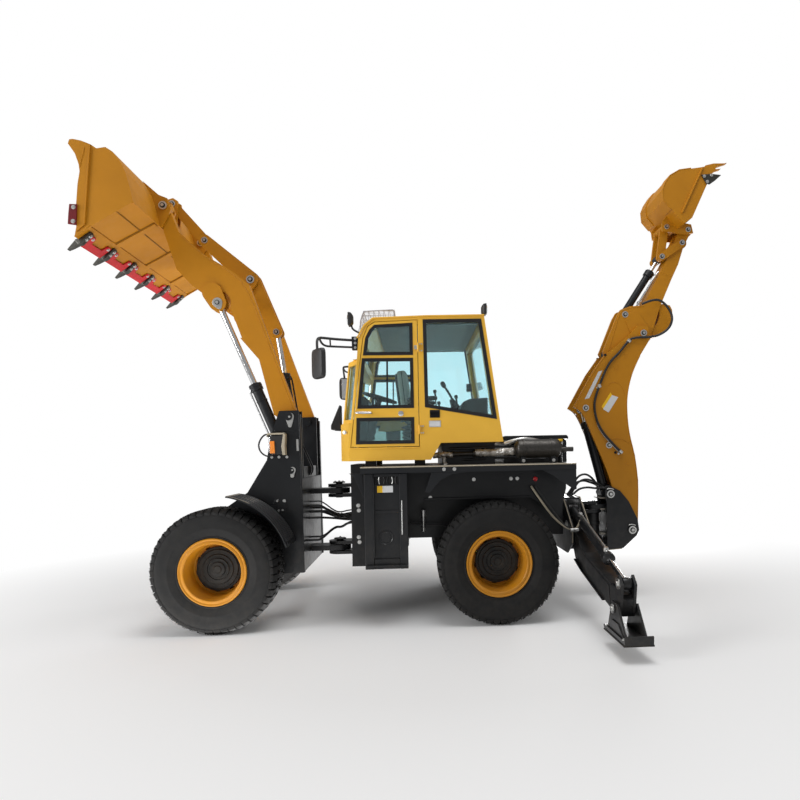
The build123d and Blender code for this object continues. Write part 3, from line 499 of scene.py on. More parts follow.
def hose(name, body, points, radius, material, to_body=None):
    """A rubber or steel line along a smooth route, as a closed tube."""
    curve = bpy.data.curves.new(name + "_line", "CURVE")
    curve.dimensions = "3D"
    curve.bevel_depth = radius
    curve.bevel_resolution = 3
    curve.use_fill_caps = True
    curve.resolution_u = 8
    line = curve.splines.new("NURBS")
    line.points.add(len(points) - 1)
    for knot, point in zip(line.points, points):
        knot.co = (*point, 1)
    line.order_u = 3
    line.use_endpoint_u = True
    maker = placed(name + "_line", curve)
    mesh = plain_mesh(maker)
    bpy.data.objects.remove(maker)
    mesh.shade_smooth()
    piece = placed(name, mesh, material)
    if to_body:
        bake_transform(piece)
    else:
        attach(piece, body)


def at_y(y, points):
    """Points (x, z) in the plane y."""
    return [(x, y, z) for x, z in points]


def both_hoses(name, points, radius, material, body="chassis", y=None):
    """A line on each side of the machine: (x, y, z), or (x, z) in the plane y."""
    points = points if y is None else at_y(y, points)
    for side, label in SIDES:
        hose(f"{name}_{label}", body, [(x, side * y, z) for x, y, z in points], radius, material)


def hose_rubber():
    material, tree, shader, _, _ = surface("hose_rubber", (0.012, 0.012, 0.013),
        (0.026, 0.026, 0.027), (20.0, 0.3, 0.8), Roughness=0.45)
    bumped(tree, shader, texture(tree, "Noise", "Fac", Scale=260), 0.2, 0.001)
    return material


HOSE = hose_rubber()
CHROME = bright_steel("chrome_plate", (0.86, 0.87, 0.88), 0.08)
# thin edge strips and gussets that stiffen the deck's sides, (x, z)
both_plates("deck_rear_gusset", [(-0.925, 1.346), (-1.224, 1.346), (-1.224, 1.175), (-1.205, 1.166),
    (-1.015, 1.3)], 0.994, 0.986, BLACK)
both_plates("deck_arch_gusset", [(0.055, 1.346), (0.112, 1.178), (0.075, 1.168), (0.045, 1.2),
    (-0.017, 1.275), (-0.125, 1.328), (-0.29, 1.346)], 0.994, 0.986, BLACK)
both_plates("front_gusset", [(0.672, 1.346), (0.79, 1.346), (0.745, 1.318), (0.664, 1.13),
    (0.652, 1.13)], 0.8, 0.808, BLACK)
both_bolts("deck_bolts", 1.0005, [(-0.054, 1.372), (-0.145, 1.372)], 0.012, 0.008, sides=12,
    washer=0.016)
EDGE_STEEL = paint("worn_edge", (0.33, 0.3, 0.25), (0.2, 0.185, 0.16), 0.42, 0.1, 0.3)
extruded("deck_tread_lip", rect(-1.226, -1.002, 0.674, 1.002), 1.4002, 1.4032, EDGE_STEEL, axis="Z",
    bevel=0.001)

# ---------------------------------------------------------------------------
# Towers and articulation. Pear-shaped keeper plates lock the pins in the tower
# sides, bolts hold the hinge column, and rubber hoses cross from the rear frame to
# the front frame.
ARC_STEPS = 14
HINGE_X = 0.976


def round_ended(start, end, radius_start, radius_end):
    """The outline of two circles joined by straight sides, (x, z)."""
    a, b = Vector(start), Vector(end)
    heading = math.atan2(*(b - a).normalized().yx)
    lean = math.acos((radius_start - radius_end) / (b - a).length)
    outline = []
    for centre, radius, low, high in (
            (b, radius_end, heading - lean, heading + lean),
            (a, radius_start, heading + lean, heading + 2 * math.pi - lean)):
        for i in range(ARC_STEPS + 1):
            turn = low + (high - low) * i / ARC_STEPS
            outline.append((centre.x + radius * math.cos(turn), centre.y + radius * math.sin(turn)))
    return outline


for part, centre, tip, radius, tip_radius, bolt in (
        ("arm", (1.347, 1.876), (1.344, 1.795), 0.04, 0.016, 0.011),
        ("lift", (1.329, 1.383), (1.331, 1.33), 0.029, 0.013, 0.008)):
    both_plates("keeper_" + part, round_ended(centre, tip, radius, tip_radius), 0.5852, 0.5915,
        ZINC, "front_frame", 0.001)
    both_bolts("keeper_bolt_" + part, 0.5915, (centre, tip), bolt, 0.007, "front_frame",
        washer=0.017)
both_bolts("column_bolts", 0.3902, [(0.75, 1.025), (0.745, 0.978), (0.75, 0.721), (0.744, 0.673)],
    0.013, 0.009, sides=12, washer=0.019)
# stiffening flange down the tower's rear edge, and the rib behind the lamp
both_plates("tower_flange", [(1.232, 0.434), (1.246, 0.434), (1.262, 1.9), (1.248, 1.9)], 0.552,
    0.6, BLACK, "front_frame", 0.003)
both_plates("tower_rib", [(1.3, 1.742), (1.49, 1.742), (1.487, 1.752), (1.3, 1.752)], 0.585, 0.597,
    BLACK, "front_frame")
both_bolts("fender_bolts", 0.5852, [(1.473, 1.101), (1.41, 1.099), (1.46, 1.012), (1.424, 1.016)],
    0.011, 0.008, "front_frame", washer=0.015)
extruded("blank_tower_plate", [(1.268, 1.56), (1.288, 1.56), (1.29, 1.668), (1.27, 1.668)], 0.5852,
    0.587, ZINC, "front_frame", bevel=0.0005)

# round caps over the two hinge pins, with their bolts
for label, height in (("upper", 1.232), ("lower", 0.658)):
    extruded(f"hinge_cap_{label}", [
        (HINGE_X + 0.062 * math.cos(a * math.pi / 16), 0.062 * math.sin(a * math.pi / 16))
        for a in range(32)], height, height + 0.012, BLACK, axis="Z", bevel=0.003)
    fasteners(f"hinge_cap_bolts_{label}", "chassis", [
        ((HINGE_X + 0.043 * math.cos(a), 0.043 * math.sin(a), height + 0.012), (0, 0, 1))
        for a in (0.6, 2.7, 4.8)], ZINC, 0.009, 0.007, washer=0.013)
# rubber hoses gathered at the middle of the hinge, then fanning out:
# radius, then (y, z) at the rear, at the waist and at the front
for index, (radius, rear, waist, front) in enumerate((
        (0.013, (0.16, 0.905), (0.06, 0.905), (0.2, 1.02)),
        (0.013, (0.1, 0.885), (0.03, 0.89), (0.12, 0.955)),
        (0.011, (0.2, 0.875), (0.09, 0.88), (0.24, 0.905)),
        (0.011, (0.02, 0.925), (-0.01, 0.915), (0.02, 0.985)),
        (0.011, (-0.1, 0.9), (-0.05, 0.9), (-0.15, 0.935)),
        (0.012, (0.24, 0.85), (0.12, 0.8), (0.28, 0.69)),
        (0.01, (0.05, 0.845), (0.05, 0.79), (0.1, 0.7)),
        (0.007, (0.14, 0.965), (0.1, 0.95), (0.16, 1.06)))):
    hose(f"hinge_hose_{index}", "chassis", [
        (0.8, *rear), (0.865, *rear), (0.945, waist[0], waist[1] - 0.01), (1.01, *waist),
        (1.13, *front), (1.19, *front), (1.255, *front),
    ], radius, HOSE, to_body="front_frame")
for index, x in enumerate((0.955, 0.985)):
    hose(f"hose_tie_{index}", "chassis", [
        (x, 0.02 + 0.085 * math.cos(a * math.pi / 6), 0.895 + 0.03 * math.sin(a * math.pi / 6))
        for a in range(13)], 0.004, HUB_BLACK)

# ---------------------------------------------------------------------------
# Front fenders. Black steel strips over the tyres with pressed ribs along their
# length, a folded worn lip at the front, and a bolted bracket to the tower.
FENDER_RADIUS = 0.65


def round_axle(radius, turn):
    """A point (x, z) round the front axle, turned up from ahead."""
    turn = math.radians(turn)
    return FRONT_AXLE_X + radius * math.cos(turn), TYRE_RADIUS + radius * math.sin(turn)


foot = FENDER_RADIUS - 0.001
for index, middle in enumerate((0.655, 0.735, 0.815, 0.895, 0.965)):
    for side, label in SIDES:
        rings = []
        for step in range(33):
            crest = FENDER_RADIUS + 0.011 * min(1, min(step, 32 - step) / 2)
            rings.append([(x, side * middle + shift, z) for radius, shift in (
                (foot, -0.017), (crest, -0.008), (crest, 0.008), (foot, 0.017))
                for x, z in [round_axle(radius, 101 + 61 * step / 32)]])
        skinned(f"fender_rib_{index}_{label}", rings, BLACK, "front_frame")
both_plates("fender_worn_top", [round_axle(0.653, 100 + t) for t in range(0, 19, 3)]
            + [round_axle(0.6505, 118 - t) for t in range(0, 19, 3)],
            0.6, 1.005, EDGE_STEEL, "front_frame", 0)
both_plates("fender_bracket", [(1.4, 1.085), (1.49, 1.12), (1.515, 1.07), (1.48, 1.0), (1.41, 1.0),
    (1.385, 1.04)], 0.5852, 0.593, BLACK, "front_frame")

# ---------------------------------------------------------------------------
# Headlamps. A black housing each side of the tower under a pale folded guard,
# with a clear front glass, an orange indicator and a looped cable.


def clear_glass(name, tint, roughness=0.03):
    """Tinted clear glass with a faint film of dust."""
    paler = tuple(0.8 * c + 0.2 for c in tint)
    material, tree, shader, film, _ = surface(
        name, tint, paler, (4.0, 0.35, 0.8), Transmission_Weight=1.0, IOR=1.45, Metallic=0.0)
    uneven_sheen(tree, shader, film, 0.05, roughness)
    return material


def moulded_plastic(name, colour, lighter, roughness, pebble=180, depth=0.25):
    """Grained black or coloured plastic."""
    material, tree, shader, _, _ = surface(
        name, colour, lighter, (7.0, 0.3, 0.8), Roughness=roughness)
    bumped(tree, shader, texture(tree, "Voronoi", "Distance", Scale=pebble), depth, 0.0008)
    return material


LAMP_GLASS = clear_glass("lamp_glass", (0.9, 0.93, 0.95), 0.04)
ORANGE_LENS = moulded_plastic("orange_lens", (0.95, 0.24, 0.02), (1.0, 0.36, 0.05), 0.22, 90, 0.5)
ORANGE_LENS.node_tree.nodes["Principled BSDF"].inputs["Coat Weight"].default_value = 0.6
GUARD_CREAM = paint("guard_cream", (0.5, 0.44, 0.33), (0.37, 0.32, 0.24), 0.42, 0.1, 0.3)
PLASTIC = moulded_plastic("black_plastic", (0.016, 0.016, 0.017), (0.032, 0.032, 0.033), 0.48)
REFLECTOR = bright_steel("lamp_reflector", (0.9, 0.9, 0.9), 0.1)
housings = both_plates("lamp_housing", [(1.392, 1.53), (1.5, 1.53), (1.512, 1.545), (1.512, 1.69),
    (1.5, 1.705), (1.392, 1.705)], 0.5855, 0.668, PLASTIC, "front_frame", 0.006)
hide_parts("headlamps")
for side, label in SIDES:
    extruded(f"lamp_reflector_{label}", rect(side * 0.597, 1.548, side * 0.658, 1.69), 1.5125,
        1.516, REFLECTOR, "front_frame", "X", 0.001)
    extruded(f"lamp_lens_{label}", rect(side * 0.593, 1.543, side * 0.662, 1.695), 1.517, 1.523,
        LAMP_GLASS, "front_frame", "X")
both_plates("lamp_guard_top", [(1.38, 1.711), (1.53, 1.711), (1.538, 1.69), (1.541, 1.692),
    (1.534, 1.724), (1.38, 1.727)], 0.5855, 0.675, GUARD_CREAM, "front_frame")
both_plates("lamp_guard_rear", [(1.372, 1.712), (1.392, 1.712), (1.41, 1.6), (1.4, 1.525),
    (1.376, 1.522), (1.38, 1.6)], 0.5855, 0.672, GUARD_CREAM, "front_frame")
both_plates("indicator", [(1.466, 1.54), (1.51, 1.54), (1.512, 1.652), (1.47, 1.652)], 0.6685, 0.68,
    ORANGE_LENS, "front_frame", 0.003)
both_bolts("lamp_bolts", 0.5852, [(1.516, 1.506), (1.45, 1.506), (1.378, 1.506)], 0.009, 0.007,
    "front_frame", washer=0.013)
both_hoses("lamp_cable", [(1.515, 1.715), (1.558, 1.722), (1.6, 1.693), (1.633, 1.629),
    (1.621, 1.564), (1.578, 1.522), (1.532, 1.512), (1.5, 1.53)], 0.0075, HOSE, "front_frame", 0.6)

# ---------------------------------------------------------------------------
# Loader arms and linkage. Boxed arms in amber enamel, with a cross tube, a
# central rocker and its link. Every pin is held by plated washers and bolts.
dress(AMBER, "loader_arms rocker bucket_link loader_bucket boom stick hoe_bucket guide_levers "
      "hoe_link")


def pin_heads(name, body, places, radius):
    """A washer, a dark disc painted as the shade of a sunk ring, and a bolt head on each pin end,
    (x, z, y); they face outwards.
    """
    spots = [((x, y, z), (0, facing, 0)) for x, z, y, facing in places]
    fasteners(name, body, spots, ZINC, radius * 0.42, 0.012, washer=radius, thick=0.005)
    # the dark disc round each bolt head is painted shade of a sunk ring
    fasteners(name + "_recess", body, spots, HUB_BLACK, radius * 0.64, 0.0058, sides=32)


for side, label in SIDES:
    pin_heads(f"lift_rod_pin_{label}", "loader_arms", [(1.992, 2.945, side * 0.5532, side),
        (1.992, 2.945, side * 0.4468, -side)], 0.04)
    pin_heads(f"lift_pin_bolt_{label}", "loader_arms", [(1.992, 2.945, side * 0.5577, side)], 0.034)
    pin_heads(f"bucket_pin_{label}", "loader_bucket", [(2.462, 3.835, side * 0.5703, side),
        (2.462, 3.835, side * 0.4297, -side)], 0.038)
both_plates("lift_eye_plate", round_ended((1.992, 2.945), (1.975, 2.904), 0.046, 0.022), 0.5532,
    0.5575, ZINC, "lift_rods", 0.001)
# edge strip welded along the top of each arm
both_hoses("arm_weld", [(1.32, 1.935), (1.505, 2.465), (1.728, 3.105), (1.865, 3.226),
    (2.108, 3.374), (2.33, 3.58)], 0.0028, AMBER, "loader_arms", 0.5352)
for name, body, x, z, y, radius in (
        ("rocker_pin", "loader_arms", 1.807, 3.289, 0.0952, 0.04),
        ("rocker_upper_pin", "rocker", 2.26, 3.693, 0.0582, 0.032),
        ("rocker_lower_pin", "rocker", 1.569, 2.769, 0.0582, 0.032),
        ("link_pin", "loader_bucket", 2.572, 4.058, 0.0583, 0.032)):
    pin_heads(name, body, [(x, z, y, 1), (x, z, -y, -1)], radius)
# two steel lines run up the inside of the left arm to the dump cylinder
for index, shift in enumerate((0.0, 0.022)):
    hose(f"arm_line_{index}", "loader_arms", [
        (x - shift, 0.452, z) for x, z in ((1.36, 1.98), (1.47, 2.33), (1.6, 2.7), (1.7, 2.98))
    ], 0.008, BLACK)

# ---------------------------------------------------------------------------
# Loader bucket. A welded amber shell with stiffened side plates and wear strips,
# a bolted lip, red edge segments, dark cast teeth and a dark red side cutter.

# the plane of the underside of the lip: u runs back up the slope, v to the left, n outwards
LIP = Vector((2.968, 0.0, 3.368))
LIP_U = Vector((-0.791, 0.0, 0.611))
LIP_V = Vector((0.0, 1.0, 0.0))
LIP_N = LIP_U.cross(LIP_V)


def on_lip(u, v, n):
    """A point in the lip's own frame."""
    return tuple(LIP + LIP_U * u + LIP_V * v + LIP_N * n)


def lip_plate(name, outline, low, high, material, bevel=0.002):
    """A plate on the lip, (u, v) round its edge, between two heights off it."""
    rings = [[on_lip(u, v, n) for u, v in outline] for n in (low, high)]
    return skinned(name, rings, material, "loader_bucket", bevel, smooth=False)


EDGE_RED = paint("edge_red", (0.62, 0.012, 0.018), (0.45, 0.012, 0.016), 0.38, 0.15, 0.0)
CUTTER_RED = paint("cutter_red", (0.17, 0.008, 0.012), (0.12, 0.008, 0.01), 0.4, 0.15, 0.0)
CAST = bright_steel("dark_cast_steel", (0.1, 0.098, 0.088), 0.42)
# darker amber for the floor's seam, a dark joint, and for the painted shadow beside each wear strip
SEAM_AND_SHADOW = paint("seam_and_shadow_paint", (0.26, 0.115, 0.008), (0.2, 0.09, 0.008), 0.6, 0.0, 0.0)
lip_plate("lip_plate", [(-0.006, -1.106), (-0.006, 1.106), (0.145, 1.106), (0.145, -1.106)], 0.0015,
    0.013, AMBER, bevel=0.003)
TOOTH_PITCH = 0.408
for index in range(6):
    tooth_y = -1.02 + index * TOOTH_PITCH
    rings = []
    for u, top, bottom, half in (
        (0.108, 0.013, 0.026, 0.026), (0.098, 0.013, 0.034, 0.031), (0.03, 0.013, 0.04, 0.032),
        (-0.008, 0.002, 0.046, 0.032), (-0.03, -0.006, 0.044, 0.029), (-0.034, -0.004, 0.04, 0.025),
        (-0.09, 0.006, 0.032, 0.021), (-0.134, 0.014, 0.022, 0.017),
    ):
        rings.append([on_lip(u, tooth_y + v, n)
                      for v, n in ((-half, top), (half, top), (half, bottom), (-half, bottom))])
    skinned(f"bucket_tooth_{index}", rings, CAST, "loader_bucket", 0.003, False)
    fasteners(f"tooth_bolts_{index}", "loader_bucket",
              [(on_lip(u, tooth_y, 0.037), tuple(LIP_N)) for u in (0.08, 0.036)],
              ZINC, 0.011, 0.007, sides=24, washer=0.016)
    if index < 5:
        w = TOOTH_PITCH - 0.09
        low_v = tooth_y + 0.045
        lip_plate(f"edge_segment_{index}", [(u, low_v + v) for u, v in (
            (-0.045, 0), (-0.045, w), (0.085, w), (0.09, w - 0.03), (0.085, w - 0.06),
            (0.025, w - 0.075), (0.025, 0.075), (0.085, 0.06), (0.09, 0.03), (0.085, 0),
        )], 0.0135, 0.027, EDGE_RED)
        fasteners(f"edge_bolts_{index}", "loader_bucket",
                  [(on_lip(0.065, low_v + v, 0.027), tuple(LIP_N)) for v in (0.03, w - 0.03)],
                  ZINC, 0.01, 0.006, sides=24, washer=0.015)
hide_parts("bucket_teeth")

side_stiffener = [(2.827, 4.086), (2.88, 3.458), (2.951, 3.4), (2.951, 3.457), (2.952, 3.584),
    (2.934, 3.795), (2.916, 3.895), (2.922, 3.954), (2.951, 4.043), (2.995, 4.111), (3.005, 4.126),
    (2.994, 4.16), (2.968, 4.164), (2.903, 4.151), (2.83, 4.12)]
for side, label in SIDES:
    fasteners(f"cutter_bolts_{label}", "loader_bucket",
              [((2.962, side * 1.121, 3.594), (0, side, 0)),
               ((2.967, side * 1.121, 3.478), (0, side, 0))], ZINC, 0.013, 0.009, washer=0.018)
both_plates("bucket_stiffener", side_stiffener, 1.0995, 1.108, AMBER, "loader_bucket")
both_plates("bucket_rib", [(2.826, 4.092), (2.879, 3.466), (2.891, 3.462), (2.839, 4.094)], 1.108,
    1.114, AMBER, "loader_bucket")
both_hoses("bucket_weld", [(2.872, 4.091), (2.895, 4.005), (2.915, 3.926)], 0.004, AMBER,
    "loader_bucket", y=1.108)
both_plates("side_cutter", [(2.935, 3.62), (2.997, 3.622), (3.006, 3.54), (3.012, 3.457),
    (2.945, 3.448)], 1.1085, 1.121, CUTTER_RED, "loader_bucket", bevel=0.003)
# wear strips under the floor, each with a dark line of painted shadow along one side, the seam
# across it and the heel's weld
for index, y in enumerate((0.62, 0.0, -0.62)):
    extruded(f"wear_strip_{index}", [(2.505, 3.6415), (2.5, 3.63), (2.846, 3.438), (2.852, 3.449)],
        y - 0.035, y + 0.035, AMBER, "loader_bucket")
    # a dark line painted along one side of the strip as its shadow
    hose(f"wear_strip_edge_{index}", "loader_bucket", [(2.508, y + 0.038, 3.6395),
        (2.68, y + 0.038, 3.544), (2.85, y + 0.038, 3.4505)], 0.005, SEAM_AND_SHADOW)
for label, x, z, radius, material in (("seam", 2.633, 3.5705, 0.005, SEAM_AND_SHADOW),
                                      ("heel", 2.496, 3.646, 0.007, AMBER)):
    hose(f"bucket_{label}", "loader_bucket", [(x, y, z) for y in (-1.098, -0.3, 0.4, 1.098)],
         radius, material)

# ---------------------------------------------------------------------------
# Hydraulic cylinders. Black barrels with a turned gland at the mouth, chromed rods
# and steel feed lines clipped to the barrels.
dress(CHROME, "lift_rods dump_rod boom_rod stick_rod hoe_rod leg_rod_left leg_rod_right")


def ring_about(base, heading, radius, distance, steps=32):
    """Points of a circle round an axis, at a distance from its base."""
    axis = Vector(heading).normalized()
    side_way = axis.orthogonal().normalized()
    other = axis.cross(side_way)
    centre = Vector(base) + axis * distance
    return [tuple(centre + side_way * radius * math.cos(2 * math.pi * i / steps)
                  + other * radius * math.sin(2 * math.pi * i / steps)) for i in range(steps)]


def spun(name, body, base, heading, section, material, steps=32):
    """A solid turned about an axis, (distance, radius) from one end to the other."""
    rings = [ring_about(base, heading, radius, distance, steps) for distance, radius in section]
    return skinned(name, rings, material, body)


def gland(name, body, base, eye, length, tube, rod):
    """The threaded cap at a barrel's mouth, with its wiper ring."""
    heading = Vector(eye) - Vector(base)
    spun(name, body, base, heading, [(length - 0.066, tube + 0.0085),
        (length - 0.062, tube + 0.012), (length - 0.04, tube + 0.012),
        (length - 0.038, tube + 0.01), (length - 0.034, tube + 0.01),
        (length - 0.032, tube + 0.012), (length - 0.006, tube + 0.012),
        (length - 0.001, tube + 0.008), (length, rod + 0.01), (length + 0.008, rod + 0.008),
        (length + 0.009, rod + 0.0015)], BLACK)


def beside(base, eye, distance, offset, y):
    """A point along a cylinder in the side view, set off to its upper side."""
    along = (Vector(eye) - Vector(base)).normalized()
    across = Vector((along.y, -along.x))
    place = Vector(base) + along * distance + across * offset
    return (place.x, y, place.y)


LIFT_BASE, LIFT_EYE = (1.343, 1.377), (1.992, 2.945)
DUMP_BASE, DUMP_EYE = (1.392, 1.6), (1.569, 2.769)
for side, label in SIDES:
    y = side * 0.5
    gland(f"lift_gland_{label}", "lift_barrels", (LIFT_BASE[0], y, LIFT_BASE[1]),
          (LIFT_EYE[0], y, LIFT_EYE[1]), 0.88, 0.048, 0.027)
    hose(f"lift_line_{label}", "lift_barrels", [
        beside(LIFT_BASE, LIFT_EYE, d, o, y) for d, o in (
            (0.1, 0.045), (0.12, 0.068), (0.18, 0.069), (0.6, 0.069), (0.8, 0.069),
            (0.835, 0.067), (0.85, 0.05))], 0.0085, CHROME)
    for index, d in enumerate((0.22, 0.7)):
        loop = ring_about((LIFT_BASE[0], y, LIFT_BASE[1]), (LIFT_EYE[0] - LIFT_BASE[0], 0,
            LIFT_EYE[1] - LIFT_BASE[1]), 0.0495, d + 0.011, 24)
        hose(f"lift_clip_{index}_{label}", "lift_barrels", loop + loop[:2], 0.004, BLACK)
gland("dump_gland", "dump_barrel", (DUMP_BASE[0], 0, DUMP_BASE[1]), (DUMP_EYE[0], 0, DUMP_EYE[1]),
      0.76, 0.045, 0.025)
hose("dump_line", "dump_barrel", [beside(DUMP_BASE, DUMP_EYE, d, -o, 0.0) for d, o in (
    (0.09, 0.043), (0.11, 0.064), (0.2, 0.065), (0.6, 0.065), (0.71, 0.064), (0.73, 0.05))],
    0.0085, BLACK)

# ---------------------------------------------------------------------------
# Side boxes and deck fittings. Each box has two posts with a sunk panel between
# them, a vent cut above a blank plate, a pressed ring and a step. Bolts, a tail
# lamp and a worn cream edge finish the deck's side.
PLATE_WHITE = paint("plate_white", (0.72, 0.73, 0.74), (0.62, 0.63, 0.64), 0.4, 0.1, 0.0)
PLATE_YELLOW = paint("plate_yellow", (0.92, 0.55, 0.02), (0.85, 0.5, 0.02), 0.4, 0.1, 0.0)
LAMP_RED = moulded_plastic("red_lens", (0.55, 0.01, 0.015), (0.7, 0.02, 0.03), 0.25, 90, 0.3)
# near-black plastic for the vent openings: painted shade of the space behind them
VENT_SHADE = moulded_plastic("vent_painted_shade", (0.004, 0.004, 0.004), (0.008, 0.008, 0.008), 0.8)
for side, label in SIDES:
    face = side * 0.9505
    for index, (low_x, high_x) in enumerate(((0.565, 0.643), (0.269, 0.339))):
        extruded(f"box_post_{index}_{label}", rect(low_x, 0.512, high_x, 1.343), face, side * 0.978,
            BLACK, bevel=0.004)
    for part, low_z, high_z, proud in (("sill", 0.512, 0.6, 0.972), ("head", 1.318, 1.343, 0.97),
                                       ("fold", 1.0, 1.022, 0.962), ("brow", 1.238, 1.25, 0.96)):
        extruded(f"box_{part}_{label}", rect(0.34, low_z, 0.564, high_z), face, side * proud, BLACK,
            bevel=0.004)
    # the vent opening is a near-black plate, painted shade of the box's inside
    extruded(f"box_vent_{label}", rect(0.352, 1.252, 0.556, 1.316), face, side * 0.9525, VENT_SHADE,
        bevel=0)
    for index in range(6):
        x = 0.366 + 0.036 * index
        hose(f"vent_pipe_{index}_{label}", "chassis",
             [(x, side * 0.953, 1.253), (x + 0.012 * (-1) ** index, side * 0.957, 1.282),
              (x, side * 0.953, 1.315)], 0.0055, (HOSE, ZINC, BLACK)[index % 3])
    extruded(f"blank_plate_white_{label}", rect(0.394, 1.178, 0.484, 1.236), face, side * 0.9525,
        PLATE_WHITE, bevel=0.0005)
    extruded(f"blank_plate_yellow_{label}", rect(0.484, 1.178, 0.532, 1.236), face, side * 0.9527,
        PLATE_YELLOW, bevel=0.0005)
    spun(f"box_ring_{label}", "chassis", (0.463, face, 0.784), (0, side, 0), [(0, 0.066),
        (0.004, 0.064), (0.005, 0.06), (0.001, 0.055), (0.001, 0.046), (0.004, 0.042)], BLACK,
        steps=48)
    hose(f"box_rail_{label}", "chassis",
         [(0.318, side * 0.98, z) for z in (0.81, 0.86, 1.05, 1.108)], 0.006, ZINC)
    hose(f"box_rail_rear_{label}", "chassis",
         [(0.562, side * 0.98, z) for z in (0.62, 0.86, 1.05, 1.3)], 0.004, BLACK)
    # cream worn edge along the deck, and the tail lamp
    hose(f"deck_edge_{label}", "chassis",
         [(x, side * 1.0005, 1.3985) for x in (-1.223, -0.6, 0.0, 0.671)], 0.0045, GUARD_CREAM)
    spun(f"tail_lamp_{label}", "chassis", (-0.93, side * 0.612, 1.255), (0, side, 0),
         [(0, 0.022), (0.01, 0.022), (0.016, 0.014)], LAMP_RED, steps=24)
    # drain cock that hangs between the box and the rear wheel
    spun(f"drain_cock_{label}", "chassis", (0.128, side * 0.55, 0.98), (0, 0, -1), [(0, 0.022),
        (0.06, 0.022), (0.065, 0.014), (0.16, 0.012), (0.165, 0.018), (0.2, 0.018)], ZINC, steps=20)
both_plates("box_step", rect(0.29, 0.54, 0.63, 0.552), 0.972, 1.012, BLACK, bevel=0.003)
both_bolts("skirt_bolts", 0.612, [(-1.13, 1.29), (-0.76, 1.262), (-0.7, 1.262), (-0.35, 1.262),
    (0.06, 1.18), (0.06, 1.1)], 0.012, 0.008, washer=0.017)
both_plates("skirt_lip", rect(0.116, 1.08, -0.89, 1.098), 0.6125, 0.634, BLACK, bevel=0.003)
both_hoses("brake_pipe", [(0.26, 0.5, 0.86), (0.14, 0.52, 0.83), (-0.02, 0.52, 0.84),
    (-0.16, 0.5, 0.8), (-0.3, 0.46, 0.76)], 0.01, HOSE)

# ---------------------------------------------------------------------------
# Engine hood and exhaust. A low black hood with a lipped top plate, louvres and
# latches, a banded muffler, and foil-wrapped pipes that run under the cab's tail.


def foil_wrap():
    """Crumpled heat wrap, darkened by the exhaust in patches."""
    material, tree, shader, _, _ = surface("heat_wrap", (0.8, 0.79, 0.76), (0.26, 0.24, 0.22),
        (16.0, 0.45, 0.62), Metallic=0.85, Roughness=0.42)
    bumped(tree, shader, texture(tree, "Voronoi", "Distance", Scale=70), 0.9, 0.006)
    return material


def louvre_tree():
    """Copies of one piece in a straight row."""
    tree, given, result = new_group("Louvres", "GeometryNodeTree", "Geometry", Piece="Object",
        Count=5, Start="Vector", Step=(0, 0, 0.03), Finish="Material")
    row = add(tree, "GeometryNodeMeshLine", Count=given["Count"], Start_Location=given["Start"],
        Offset=given["Step"])["Mesh"]
    piece = add(tree, "GeometryNodeObjectInfo", Object=given["Piece"])["Geometry"]
    return copies_on(tree, given, result, piece, row)


SET_IN_ROW = louvre_tree()


def in_row(name, piece, body, count, start, step, finish):
    """Copies of a piece in a straight row on a body."""
    row = grown(name, SET_IN_ROW, Piece=piece, Count=count, Start=start, Step=step, Finish=finish)
    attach(row, body)
    bpy.data.objects.remove(piece)


FOIL = foil_wrap()
EXHAUST = bright_steel("exhaust_steel", (0.09, 0.085, 0.08), 0.4)
hood_cover = extruded("hood_cover", [(-0.664, 1.402), (-0.664, 1.626), (-0.7, 1.63), (-1.262, 1.63),
    (-1.281, 1.61), (-1.281, 1.402)], -0.445, 0.445, BLACK, bevel=0.012)
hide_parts("engine_hood")
extruded("hood_top", [(-0.655, 1.63), (-1.292, 1.63), (-1.292, 1.652), (-1.276, 1.668),
    (-0.672, 1.668), (-0.655, 1.655)], -0.462, 0.462, BLACK, bevel=0.005)
for side, label in SIDES:
    louvre = skinned(f"louvre_{label}", [
        [(x, side * 0.444, 0.0), (x, side * (0.444 + proud), 0.004), (x, side * 0.444, 0.017)]
        for x, proud in ((-0.105, 0.002), (-0.095, 0.012), (0.095, 0.012), (0.105, 0.002))
    ], None, smooth=False)
    in_row(f"hood_louvres_{label}", louvre, "chassis", 6, (-0.97, 0, 1.44), (0, 0, 0.027), BLACK)
    fasteners(f"hood_latch_{label}", "chassis",
              [((x, side * 0.445, 1.6), (0, side, 0)) for x in (-0.72, -1.22)],
              ZINC, 0.014, 0.01, sides=24, washer=0.022)
muffler = spun("muffler_body", "chassis", (-0.724, 0.7, 1.54), (-1, 0, 0), [
    (0.0, 0.03), (0.004, 0.045), (0.02, 0.072), (0.03, 0.083), (0.034, 0.085), (0.072, 0.085),
    (0.074, 0.089), (0.096, 0.089), (0.098, 0.085), (0.33, 0.085), (0.332, 0.089),
    (0.354, 0.089), (0.356, 0.085), (0.402, 0.085), (0.41, 0.08), (0.428, 0.06), (0.43, 0.026),
], EXHAUST, steps=64)
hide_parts("muffler")
spun("tail_pipe", "chassis", (-1.15, 0.7, 1.528), (-1, 0, 0),
     [(0.0, 0.022), (0.123, 0.022), (0.123, 0.018), (0.02, 0.018)], EXHAUST, steps=32)
for index, x in enumerate((-1.1, -0.82)):
    extruded(f"muffler_foot_{index}", rect(x, 1.4035, x + 0.04, 1.47), 0.655, 0.745, BLACK,
        bevel=0.003)
    fasteners(f"muffler_bolts_{index}", "chassis",
              [((x + 0.02, 0.745, 1.43), (0, 1, 0))], ZINC, 0.01, 0.007)


